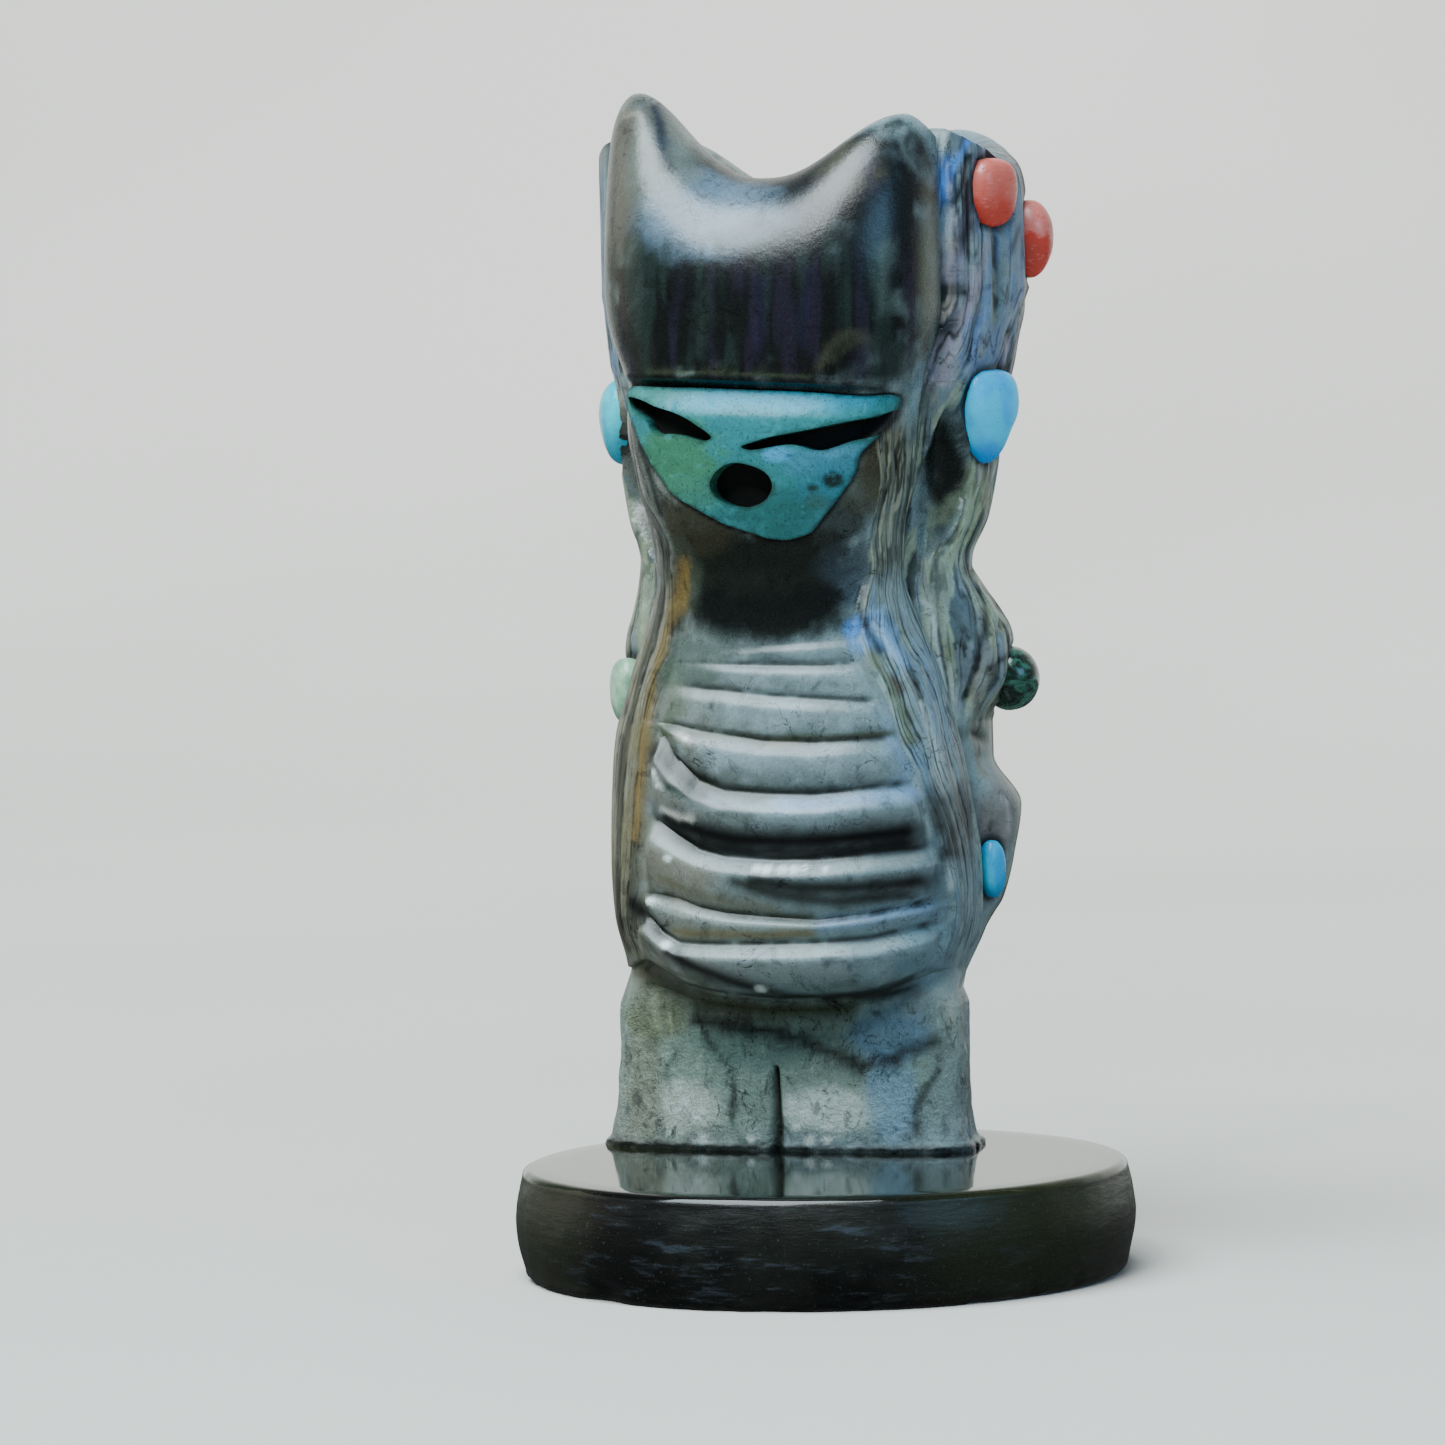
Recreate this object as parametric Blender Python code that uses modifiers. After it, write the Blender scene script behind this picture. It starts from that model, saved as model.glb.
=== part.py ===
"""Stone fetish carving: a two-sided maiden in veined grey marble on a round black base.

Metres, +Z up. The front of the figure looks along -Y. The origin is the centre of the base's underside.

The figure is a loft. A grid is wrapped round an upright axis, and each of its rows takes the outline that
the carving has at that height: the front maiden's half, a flare on each side, and the rear maiden's half.
Folds, hair falls, hollows and the crown's scoop are then worked out from the named sizes below. Inside the
figure all places are given in carving units, one of which is 1 mm while the figure keeps its nominal
height, so the whole carving and the stones set in it grow with FIGURE_HEIGHT.
"""

import math

import bmesh
import bpy
import numpy as np
from mathutils import Matrix, Vector

# Driving dimensions, in metres
BASE_RADIUS = 0.0179
BASE_THICKNESS = 0.0063
BASE_EDGE_ROUND = 0.0005
BASE_BULGE = 0.0004
FIGURE_HEIGHT = 0.0619
FIGURE_X = -0.0042
FIGURE_Y = 0.0062
GLUE_GAP = 0.0003
INLAY_GAP = 0.0003
MASK_THICKNESS = 0.0009

# One carving unit, and the height of the figure's soles
NOMINAL_HEIGHT = 61.9
UNIT = FIGURE_HEIGHT / NOMINAL_HEIGHT
FIGURE_Z = BASE_THICKNESS + GLUE_GAP
GAP_UNITS = INLAY_GAP / UNIT
MASK_UNITS = MASK_THICKNESS / UNIT

# Density of the carving's grid: columns from the middle to the side groove, and rows over the crown
PANEL_COLUMNS = 8
FALL_COLUMNS = 5
FLARE_COLUMNS = 6
REAR_FALL_COLUMNS = 3
REAR_PANEL_COLUMNS = PANEL_COLUMNS + FALL_COLUMNS - FLARE_COLUMNS - REAR_FALL_COLUMNS
HALF_COLUMNS = PANEL_COLUMNS + FALL_COLUMNS
CROWN_ROWS = 7
FOOT_ROWS = (0.0, 2.0, 5.0, 7.6, 8.7)
HEAD_ROWS = (31.2, 33.0, 34.6, 36.2, 37.9, 39.6, 41.2, 42.6, 44.1, 44.7, 46.2, 48.2)
NARROW_FOLD = 2.0

# Front maiden: height, half width, y of the side groove, y of the front, squareness
FRONT = np.array([
    (0.0, 11.1, 0.7, -2.2, 3.2),  # soles
    (2.0, 10.7, 1.0, -2.2, 3.2),  # foot block
    (8.7, 10.5, 1.6, -2.3, 3.1),  # foot block under the hem
    (8.9, 10.3, 1.8, -4.6, 2.8),  # lower edge of the hem
    (10.0, 10.2, 3.2, -5.6, 2.6),
    (12.0, 10.7, 5.0, -6.1, 2.5),
    (15.5, 10.95, 4.7, -6.4, 2.5),  # fullest part of the robe
    (21.8, 10.55, 3.2, -6.1, 2.5),
    (27.3, 9.55, 2.0, -5.3, 2.4),  # chest
    (30.9, 8.25, 1.6, -4.7, 2.3),
    (33.4, 7.4, 1.7, -4.9, 2.3),  # neck
    (36.4, 7.8, 1.6, -6.3, 2.4),  # chin
    (38.7, 8.3, 1.7, -7.0, 2.5),
    (42.4, 8.85, 0.9, -7.4, 2.6),  # brow
    (44.1, 9.2, 0.6, -6.5, 2.6),  # crease between the mask and the crown
    (44.7, 9.35, 0.6, -7.1, 2.7),
    (49.3, 10.3, 1.1, -7.2, 2.7),
    (61.9, 10.4, 1.2, -7.2, 2.7),
])
# Rear maiden: height, half width, y of the widest plane, y of the back, squareness
REAR = np.array([
    (0.0, 10.9, 1.6, 6.6, 2.7),  # soles
    (2.0, 10.5, 1.9, 6.5, 2.7),
    (8.0, 10.3, 2.4, 6.8, 2.7),
    (9.3, 9.5, 4.0, 8.0, 2.6),  # hem
    (12.0, 10.3, 6.0, 10.2, 2.8),
    (13.6, 11.4, 6.0, 10.6, 2.8),
    (16.2, 12.1, 6.1, 10.9, 2.8),  # hip
    (19.3, 12.5, 6.6, 11.0, 2.8),
    (22.3, 11.0, 6.0, 10.4, 2.8),  # waist
    (24.3, 11.0, 6.0, 10.3, 2.8),
    (27.4, 11.9, 6.6, 10.9, 2.8),  # elbow
    (29.5, 11.7, 6.6, 10.8, 2.8),
    (33.8, 10.2, 5.0, 9.6, 2.8),  # neck
    (36.8, 11.1, 5.8, 10.4, 2.8),
    (43.2, 12.1, 6.7, 10.8, 2.8),  # ear
    (49.0, 12.9, 7.8, 11.0, 2.8),
    (52.5, 13.0, 8.2, 11.0, 2.8),  # crown
    (61.9, 12.8, 8.0, 10.9, 2.8),
])
# Side groove between the two maidens: height, depth
GROOVE = np.array([(0.0, 0.0), (9.0, 0.1), (14.0, 0.4), (24.0, 0.7), (28.5, 1.2), (33.0, 0.8),
                   (44.0, 0.35), (61.9, 0.25)])
GROOVE_WIDTH = 0.6
# How much narrower the left side is than the right: height, front maiden, rear maiden
LEFT_TRIM = np.array([(0.0, 0.0, 0.0), (24.0, 0.0, 0.0), (27.5, 0.35, 0.7), (30.5, 0.35, 0.7),
                      (34.0, 0.1, 0.2), (41.0, 0.1, 0.1), (44.7, 0.75, 0.5), (48.5, 0.55, 0.4),
                      (52.0, 0.25, 0.2), (56.0, 0.0, 0.0), (61.9, 0.0, 0.0)])
# Inner edges of the front maiden's hair falls: height, x of the left edge, x of the right edge
FALLS = np.array([(0.0, -8.0, 8.6), (11.5, -7.8, 9.8), (14.4, -7.3, 10.1), (18.5, -6.7, 9.8),
                  (22.0, -6.3, 8.9), (26.0, -5.8, 7.4), (30.0, -4.8, 5.8), (34.5, -4.6, 6.3),
                  (39.0, -7.0, 7.4), (61.9, -8.0, 8.0)])
FALL_RISE = 0.55
FALL_FOOT = 10.5
FALL_TOP = 34.5
FALL_FADE = 1.5
# Across a fall, in shares of the way to its inner edge: where it rises, and where it has sunk again
FALL_EDGE = (0.93, 1.02)
FALL_BACK = 1.5
FALL_BACK_DROP = 0.6
PANEL_EDGE = 0.90
REAR_PANEL_EDGE = 0.88
REAR_FACE_EDGE = 0.9
EDGE_LIMITS = (0.2, 0.965)
NOT_THERE = 9.0
# Inner edges of the rear maiden's hair: height, x on both sides
REAR_FALLS = np.array([(0.0, 8.4), (12.0, 8.8), (20.0, 8.0), (27.0, 6.8), (33.5, 6.2), (39.0, 7.4),
                       (44.0, 8.6), (61.9, 9.5)])

# Folds of the robe: heights of the grooves between them. CLIMB is how much they rise towards the sides
FOLD_GROOVES = (8.9, 12.4, 13.9, 17.2, 21.1, 23.9, 26.6, 28.4, 29.7)
FOLD_SWELL = 0.26
REAR_FOLD_GROOVES = (9.0, 12.8, 16.6, 20.4, 24.2, 28.0)
REAR_FOLD_SWELL = 0.16
CLIMB = np.array([(0.0, 0.0), (7.0, 0.1), (8.8, 1.6), (13.9, 1.4), (17.2, 1.1), (21.1, 0.8), (26.6, 0.2),
                  (30.0, 0.0), (61.9, 0.0)])
CLIMB_REACH = 10.0
CLIMB_LIMIT = 1.2

# Rear maiden's face, sunk in the stone like the front's mask: height, half width
REAR_FACE = np.array([(34.8, 0.0), (35.4, 1.6), (36.7, 3.8), (39.8, 6.2), (42.8, 7.6), (43.9, 7.8),
                      (44.3, 0.0)])
REAR_FACE_DEPTH = 0.6

# Hollow behind the front maiden's hair, and the rear maiden's arm, both placed by height and along the flare
HOLLOW = dict(foot=34.2, top=43.2, middle=0.34, half_width=0.30, depth=1.8,
              levels=(34.2, 37.8, 39.8, 43.2), shares=(0.3, 1.0, 0.9, 0.15))
ARM = dict(foot=24.0, top=34.5, middle=1.0, half_width=0.55, rise=0.5)
# Swelling of the rear crown's right side, which holds the coral
CORAL_SEAT = dict(foot=47.0, top=50.5, middle=1.1, half_width=0.5, rise=0.5)

# Crown: a scoop between two horns, and a groove that parts the two maidens' crowns
CROWN_FOOT = 50.0
SCOOP_HEIGHT = 56.6
LEFT_HORN_RISE = 5.3
RIGHT_HORN_RISE = 3.5
HORN_X = 8.2
HORN_SHOULDER = 0.5
REAR_SCOOP_HEIGHT = 55.8
REAR_HORN_RISE = 3.7
REAR_HORN_X = 8.7
REAR_HORN_SHOULDER = 0.12
# Powers of the way over the crown: how late the rear rows move towards the groove, in x and in y
REAR_CROWN_POWERS = (3.0, 1.6)
# How far the left horn swells sideways on its way up
LEFT_HORN_SWELL = 0.6
CROWN_GROOVE_DEPTH = 1.1
CROWN_GROOVE_ROUND = 4
RIM_SQUARENESS = 24
FRONT_RIM_PLACE = 0.82
REAR_RIM_PLACE = 0.36

# Notch between the feet
NOTCH_HEIGHT = 4.8
NOTCH_WIDTH = 0.7
NOTCH_DEPTH = 0.8
NOTCH_TAPER = 3.0

# Outline of the mask, its eyes and its mouth, seen from the front: x, height
MASK_OUTLINE = ((-8.1, 44.6), (-7.7, 43.4), (-6.7, 41.7), (-4.6, 39.0), (-2.3, 37.5), (-0.1, 36.0),
                (1.5, 35.4), (3.0, 35.5), (4.3, 36.6), (6.3, 39.5), (7.1, 41.3), (8.6, 43.2), (8.4, 43.9),
                (3.0, 44.1), (-3.1, 44.45))
RIGHT_EYE = ((0.7, 41.15), (3.9, 41.75), (8.0, 42.75), (7.3, 41.7), (6.4, 41.2), (5.2, 40.85), (3.9, 41.1))
LEFT_EYE = ((-1.5, 41.5), (-4.2, 43.0), (-7.4, 44.0), (-6.0, 42.8), (-5.4, 42.0), (-3.9, 42.0), (-2.6, 41.5))
MOUTH = dict(at=(0.2, 38.8), half_width=1.75, half_height=1.35)
MASK_BACK_Y = -1.9
TOOL_CLEAR = 1.0

# Stones set in the figure: x, y and height of the middle, half sizes, and how far it is turned outwards
EAR_STONE = dict(at=(11.4, 4.8, 42.45), half=(1.45, 2.2, 2.75), turn=25.0)
EAR_STONE_LEFT = dict(at=(-11.1, 4.8, 42.6), half=(1.45, 2.2, 2.55), turn=-25.0)
HIP_STONE = dict(at=(11.35, 4.9, 15.8), half=(0.7, 0.8, 1.7), turn=30.0)
CORAL_FRONT = dict(at=(12.1, 4.2, 55.5), half=(1.3, 1.8, 2.0), turn=25.0)
CORAL_REAR = dict(at=(12.95, 9.5, 52.9), half=(1.5, 1.7, 2.3), turn=-20.0)
CORAL_REAR_LEFT = dict(at=(-11.2, 10.0, 52.9), half=(1.5, 1.5, 2.3), turn=40.0)
ELBOW_BEAD = dict(at=(11.8, 7.9, 26.9), half=(1.75, 1.85, 1.9), turn=0.0)
ELBOW_STONE = dict(at=(-10.65, 3.3, 26.5), half=(1.0, 1.6, 2.0), turn=-35.0)
STONE_SEGMENTS = 12
STONE_RINGS = 7

FIGURE_PLACE = Vector((FIGURE_X, FIGURE_Y, FIGURE_Z))


def fresh_scene():
    """Clear the scene and make one collection for the carving and one for its cutting tools."""
    for thing in list(bpy.data.objects):
        bpy.data.objects.remove(thing, do_unlink=True)
    collections = []
    for name in ("stone_fetish_carving", "cutters"):
        collection = bpy.data.collections.new(name)
        bpy.context.scene.collection.children.link(collection)
        collections.append(collection)
    return collections


MODEL, CUTTERS = fresh_scene()


def material(name, colour, roughness):
    """A plain dielectric finish: colour is linear red, green and blue."""
    finish = bpy.data.materials.new(name)
    finish.use_nodes = True
    shader = finish.node_tree.nodes["Principled BSDF"]
    shader.inputs["Base Color"].default_value = (*colour, 1.0)
    shader.inputs["Roughness"].default_value = roughness
    shader.inputs["Metallic"].default_value = 0.0
    finish.diffuse_color = (*colour, 1.0)
    return finish


FINISHES = dict(
    marble=material("veined_marble", (0.20, 0.23, 0.25), 0.28),
    black=material("black_stone", (0.012, 0.014, 0.012), 0.2),
    turquoise=material("turquoise", (0.10, 0.48, 0.47), 0.35),
    sky=material("sky_turquoise", (0.05, 0.55, 0.85), 0.25),
    coral=material("coral", (0.72, 0.14, 0.10), 0.35),
    malachite=material("dark_green_stone", (0.02, 0.10, 0.07), 0.2),
    mint=material("mint_stone", (0.42, 0.60, 0.50), 0.35),
)


def add_object(name, mesh, finish=None):
    """Link a mesh as a sub-part of the carving, or as a cutting tool where it has no finish."""
    thing = bpy.data.objects.new(name, mesh)
    if finish is None:
        CUTTERS.objects.link(thing)
        thing.hide_render = True
        thing.display_type = "WIRE"
    else:
        MODEL.objects.link(thing)
        mesh.materials.append(finish)
        mesh.shade_smooth()
        mesh.set_sharp_from_angle(angle=math.radians(35.0))
    return thing


def cut(thing, tool, operation="DIFFERENCE"):
    """Add a live Boolean to a sub-part."""
    step = thing.modifiers.new(operation.lower(), "BOOLEAN")
    step.operation = operation
    step.solver = "EXACT"
    step.object = tool


def along(table, column, height):
    """Read one column of a profile table at the given heights, eased between its rows."""
    levels = table[:, 0]
    values = table[:, column]
    spans = np.diff(levels)
    steps = np.diff(values) / spans
    slopes = np.zeros_like(values)
    same_way = steps[:-1] * steps[1:] > 0.0
    before, after = steps[:-1][same_way], steps[1:][same_way]
    slopes[1:-1][same_way] = 2.0 * before * after / (before + after)
    row = np.clip(np.searchsorted(levels, height, side="right") - 1, 0, len(spans) - 1)
    s = np.clip((height - levels[row]) / spans[row], 0.0, 1.0)
    ease_in = (1.0 + 2.0 * s) * (1.0 - s) ** 2
    ease_out = s * s * (3.0 - 2.0 * s)
    lift_in = s * (1.0 - s) ** 2 * spans[row] * slopes[row]
    lift_out = s * s * (s - 1.0) * spans[row] * slopes[row + 1]
    return ease_in * values[row] + ease_out * values[row + 1] + lift_in + lift_out


def smooth(low, high, value):
    """Rise from 0 to 1 as value goes from low to high."""
    s = np.clip((value - low) / (high - low), 0.0, 1.0)
    return s * s * (3.0 - 2.0 * s)


def row_heights():
    """Heights of the grid's rows, measured on the middle line: three to a wide fold, two to a narrow one."""
    folds = []
    for low, high in zip(FOLD_GROOVES[:-1], FOLD_GROOVES[1:]):
        shares = (0.0, 0.3, 0.8) if high - low > NARROW_FOLD else (0.0, 0.55)
        folds += [low + (high - low) * share for share in shares]
    return np.array([*FOOT_ROWS, *folds, FOLD_GROOVES[-1], *HEAD_ROWS, CROWN_FOOT])


def superellipse(share, squareness):
    """Depth of a rounded half outline, as a share, where x is the given share of the half width."""
    return (1.0 - np.clip(np.abs(share), 0.0, 1.0) ** squareness) ** (1.0 / squareness)


def half_arc(width, base_y, deep_y, squareness, edge, panel_columns, fall_columns):
    """Points from the middle of a maiden to her side: x, y, and place, which is 1 at her hair's edge."""
    edge_share = np.clip(edge / width, *EDGE_LIMITS)
    turn = np.arcsin(edge_share ** (squareness / 2.0))
    panel = edge_share * np.arange(panel_columns) / panel_columns
    fall_turn = turn + (math.pi / 2.0 - turn) * np.arange(fall_columns + 1) / fall_columns
    share = np.concatenate([panel, np.sin(fall_turn) ** (2.0 / squareness)], axis=1)
    return width * share, base_y + (deep_y - base_y) * superellipse(share, squareness), share / edge_share


def front_half(height, side):
    """Outline points from the middle of the front to the side groove, for each height."""
    side_height = height + along(CLIMB, 1, height)
    width, groove_y = (along(FRONT, column, side_height)[:, None] for column in (1, 2))
    front_y, squareness = (along(FRONT, column, height)[:, None] for column in (3, 4))
    if side < 0:
        width = width - along(LEFT_TRIM, 1, side_height)[:, None]
    edge = np.abs(along(FALLS, 1 if side < 0 else 2, side_height))[:, None]
    x, y, place = half_arc(width, groove_y, front_y, squareness, edge, PANEL_COLUMNS, FALL_COLUMNS)
    x = x - along(GROOVE, 1, side_height)[:, None] * np.exp(-((groove_y - y) / GROOVE_WIDTH) ** 2)
    return x, y, place


def rear_half(height, side):
    """Outline points from the side groove, round the flare, to the middle of the back."""
    side_height = height + along(CLIMB, 1, height)
    start_x = (along(FRONT, 1, side_height) - along(GROOVE, 1, side_height))[:, None]
    start_y = along(FRONT, 2, side_height)[:, None]
    width, widest_y, back_y, squareness = (along(REAR, column, side_height)[:, None]
                                           for column in (1, 2, 3, 4))
    if side < 0:
        start_x = start_x - along(LEFT_TRIM, 1, side_height)[:, None]
        width = width - along(LEFT_TRIM, 2, side_height)[:, None]
    edge = along(REAR_FALLS, 1, side_height)[:, None]
    flare = math.pi / 2.0 * np.arange(FLARE_COLUMNS)[None, :] / FLARE_COLUMNS
    flare_x = start_x + (width - start_x) * np.sin(flare)
    flare_y = start_y + (widest_y - start_y) * (1.0 - np.cos(flare))
    x, y, place = half_arc(width, widest_y, back_y, squareness, edge, REAR_PANEL_COLUMNS, REAR_FALL_COLUMNS)
    not_hair = np.full(flare_x.shape, NOT_THERE)
    return (np.concatenate([flare_x, x[:, ::-1]], axis=1), np.concatenate([flare_y, y[:, ::-1]], axis=1),
            np.concatenate([not_hair, place[:, ::-1]], axis=1))


def fold_relief(height, grooves, swell):
    """How far the robe's folds stand out at each height: fullest above the middle of each fold."""
    relief = np.zeros_like(height)
    for low, high in zip(grooves[:-1], grooves[1:]):
        share = np.clip((height - low) / (high - low), 0.0, 1.0)
        relief += swell * (high - low) * np.sin(math.pi * share ** 1.35) ** 0.8
    return relief


def outwards(x, y):
    """Unit vectors that point out of each row's closed outline."""
    along_x = np.roll(x, -1, axis=1) - np.roll(x, 1, axis=1)
    along_y = np.roll(y, -1, axis=1) - np.roll(y, 1, axis=1)
    length = np.maximum(np.hypot(along_x, along_y), 1e-6)
    return along_y / length, -along_x / length


def joined(right_front, right_rear, left_rear, left_front, mirror=1.0):
    """Join the quarters into closed rows, anticlockwise from the middle of the front. -1 mirrors x."""
    left_rear = left_rear[:, -2:0:-1] * mirror
    left_front = left_front[:, :0:-1] * mirror
    return np.concatenate([right_front[:, :-1], right_rear, left_rear, left_front], axis=1)


def mound(across, up, across_power, up_power):
    """A swelling that is 1 in its middle and 0 where across or up reaches 1 either way."""
    sideways = np.clip(1.0 - np.abs(across) ** across_power, 0.0, 1.0)
    return sideways * np.clip(1.0 - np.abs(up) ** up_power, 0.0, 1.0)


def between(sizes, height):
    """Height as a share of the way from the middle of a feature to its top."""
    middle = (sizes["foot"] + sizes["top"]) / 2.0
    return (height - middle) / (sizes["top"] - middle)


def carving(x, height, front_place, rear_place, flare_place):
    """How far the carved detail stands out of the plain outline at each point of the grid."""
    is_front = front_place < NOT_THERE
    is_rear = rear_place < NOT_THERE
    level = height[:, None]

    # Folds of the front, and the hair that frames them
    on_panel = is_front * (1.0 - smooth(PANEL_EDGE, 1.0, front_place))
    relief = fold_relief(level, FOLD_GROOVES, FOLD_SWELL) * on_panel
    hair = is_front * smooth(*FALL_EDGE, front_place)
    hair = hair * (1.0 - FALL_BACK_DROP * smooth(FALL_EDGE[1], FALL_BACK, front_place))
    hair = hair * smooth(FALL_FOOT - FALL_FADE, FALL_FOOT + FALL_FADE, level)
    hair = hair * smooth(FALL_TOP + FALL_FADE, FALL_TOP - FALL_FADE, level)
    relief = relief + FALL_RISE * hair

    # Folds and face of the rear
    inside = 1.0 - smooth(REAR_PANEL_EDGE, 1.0, rear_place)
    relief = relief + fold_relief(level, REAR_FOLD_GROOVES, REAR_FOLD_SWELL) * is_rear * inside
    face_half_width = np.interp(level, REAR_FACE[:, 0], REAR_FACE[:, 1])
    in_face = smooth(face_half_width, face_half_width - REAR_FACE_EDGE, np.abs(x))
    relief = relief - REAR_FACE_DEPTH * is_rear * in_face

    # Hollow and arm on the flare
    half_width = HOLLOW["half_width"] * np.interp(level, HOLLOW["levels"], HOLLOW["shares"])
    across = (flare_place - HOLLOW["middle"]) / half_width
    relief = relief - HOLLOW["depth"] * mound(across, between(HOLLOW, level), 2, 4) ** 0.7
    across = (flare_place - ARM["middle"]) / ARM["half_width"]
    relief = relief + ARM["rise"] * mound(across, between(ARM, level), 4, 2)

    # Seat of the coral
    across = (flare_place - CORAL_SEAT["middle"]) / CORAL_SEAT["half_width"]
    seat = np.exp(-across ** 2) * smooth(CORAL_SEAT["foot"], CORAL_SEAT["top"], level)
    return relief + CORAL_SEAT["rise"] * seat * (x > 0.0)


def outline_grid(height, inset):
    """Points of all the closed outlines: x, y and z."""
    right_x, right_y, right_place = front_half(height, 1)
    left_x, left_y, left_place = front_half(height, -1)
    rear_x, rear_y, rear_place = rear_half(height, 1)
    left_rear_x, left_rear_y, left_rear_place = rear_half(height, -1)
    absent = np.full(right_x.shape, NOT_THERE)
    x = joined(right_x, rear_x, left_rear_x, left_x, mirror=-1.0)
    y = joined(right_y, rear_y, left_rear_y, left_y)
    front_place = joined(right_place, absent, absent, left_place)
    rear_place = joined(absent, rear_place, left_rear_place, absent)

    # Along the flare from 0 at the groove to 1 at the widest plane, and on round the rear to 2
    rear_columns = HALF_COLUMNS - FLARE_COLUMNS
    flare_place = np.append(np.arange(FLARE_COLUMNS) / FLARE_COLUMNS,
                            1.0 + np.arange(rear_columns + 1) / rear_columns)[None, :]
    flare_place = joined(absent[:1], flare_place, flare_place, absent[:1])

    out_x, out_y = outwards(x, y)
    relief = carving(x, height, front_place, rear_place, flare_place) - inset
    x = x + out_x * relief
    y = y + out_y * relief
    climb = along(CLIMB, 1, height)[:, None]
    z = height[:, None] + climb * np.minimum((x / CLIMB_REACH) ** 2, CLIMB_LIMIT)
    return x, y, z


def scoop(x, tip_x, tip_rise, shoulder):
    """Height of a crown's rim above its lowest point."""
    share = np.clip(np.abs(x) / tip_x, 0.0, 1.0)
    beyond = np.clip(np.abs(x) - tip_x, 0.0, None)
    return tip_rise * (1.0 - np.cos(math.pi * share ** 1.2)) / 2.0 - shoulder * beyond ** 2


def rim_height(x, rear):
    """Height of the front or the rear crown's rim."""
    if rear:
        return REAR_SCOOP_HEIGHT + scoop(x, REAR_HORN_X, REAR_HORN_RISE, REAR_HORN_SHOULDER)
    rise = np.where(x < 0.0, LEFT_HORN_RISE, RIGHT_HORN_RISE)
    return SCOOP_HEIGHT + scoop(x, HORN_X, rise, HORN_SHOULDER)


def crown_rows(x, y, z, inset):
    """Rows that carry the last outline up and over the two rims to the groove between them."""
    half = HALF_COLUMNS
    column = np.arange(4 * half)
    steps = np.minimum(column, 4 * half - column)
    is_rear = steps > half
    from_middle = np.where(is_rear, 2 * half - steps, steps) / half
    side = np.where(column <= 2 * half, 1.0, -1.0)
    end_x = np.where(side > 0.0, x[half], -x[-half])
    end_y = y[half]
    target_x = side * end_x * from_middle
    groove_floor = np.minimum(rim_height(target_x, False), rim_height(target_x, True))
    groove_floor = groove_floor - CROWN_GROOVE_DEPTH * (1.0 - from_middle ** CROWN_GROOVE_ROUND) - inset
    left_horn = from_middle ** 3 * (1.0 - from_middle ** RIM_SQUARENESS) * (side < 0.0) * ~is_rear
    rows = []
    for number in range(1, CROWN_ROWS + 1):
        q = 1.0 - math.cos(math.pi / 2.0 * number / CROWN_ROWS)
        share_x, share_y = (np.where(is_rear, q ** power, q) for power in REAR_CROWN_POWERS)
        place_x = x + (target_x - x) * share_x - LEFT_HORN_SWELL * left_horn * math.sin(math.pi * q)
        place_y = y + (end_y - y) * share_y
        rim = np.where(is_rear, rim_height(place_x, True), rim_height(place_x, False)) - inset
        rim = groove_floor + (rim - groove_floor) * (1.0 - from_middle ** RIM_SQUARENESS)
        rim_place = np.where(is_rear, REAR_RIM_PLACE, FRONT_RIM_PLACE)
        climb = np.sqrt(1.0 - (1.0 - np.minimum(q / rim_place, 1.0)) ** 2)
        dip = smooth(rim_place, 1.0, q)
        place_z = z + (rim - z) * climb - (rim - groove_floor) * dip
        rows.append((place_x, place_y, place_z))
    return rows


def figure_mesh(name, inset=0.0):
    """The whole carving, or a slimmer copy of it whose surface lies inset units deeper."""
    height = row_heights()
    x, y, z = outline_grid(height, inset)
    rows = [(x[i], y[i], z[i]) for i in range(len(height))]
    rows += crown_rows(*rows[-1], inset)
    points = np.array(rows).transpose(0, 2, 1)
    row_count, column_count = points.shape[:2]

    shape = bmesh.new()
    bmesh.ops.create_grid(shape, x_segments=column_count, y_segments=row_count - 1, size=1.0)
    for vert in shape.verts:
        column = round((vert.co.x + 1.0) / 2.0 * column_count) % column_count
        row = round((vert.co.y + 1.0) / 2.0 * (row_count - 1))
        vert.co = Vector(points[row, column]) * UNIT
    bmesh.ops.remove_doubles(shape, verts=shape.verts, dist=0.00002)
    bmesh.ops.holes_fill(shape, edges=[edge for edge in shape.edges if edge.is_boundary], sides=0)
    bmesh.ops.recalc_face_normals(shape, faces=shape.faces)
    mesh = bpy.data.meshes.new(name)
    shape.to_mesh(mesh)
    shape.free()
    return mesh


def prism(name, outline, near_y, far_y):
    """A flat outline in x and height, pushed through from near_y to far_y."""
    shape = bmesh.new()
    verts = [shape.verts.new(Vector((x, near_y, z)) * UNIT) for x, z in outline]
    face = shape.faces.new(verts)
    pushed = bmesh.ops.extrude_face_region(shape, geom=[face])
    moved = [item for item in pushed["geom"] if isinstance(item, bmesh.types.BMVert)]
    bmesh.ops.translate(shape, verts=moved, vec=Vector((0.0, (far_y - near_y) * UNIT, 0.0)))
    bmesh.ops.recalc_face_normals(shape, faces=shape.faces)
    mesh = bpy.data.meshes.new(name)
    shape.to_mesh(mesh)
    shape.free()
    return mesh


def rounded(outline, pieces=2):
    """Put points between those of a closed outline, on a smooth curve through them."""
    points = [Vector(point) for point in outline]
    count = len(points)
    curve = []
    for i in range(count):
        before, start, end, after = (points[(i + k) % count] for k in (-1, 0, 1, 2))
        for step in range(pieces):
            s = step / pieces
            blend = start * 2.0 + (end - before) * s
            blend += (before * 2.0 - start * 5.0 + end * 4.0 - after) * s ** 2
            blend += (start * 3.0 - before - end * 3.0 + after) * s ** 3
            curve.append(tuple(blend * 0.5))
    return curve


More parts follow.
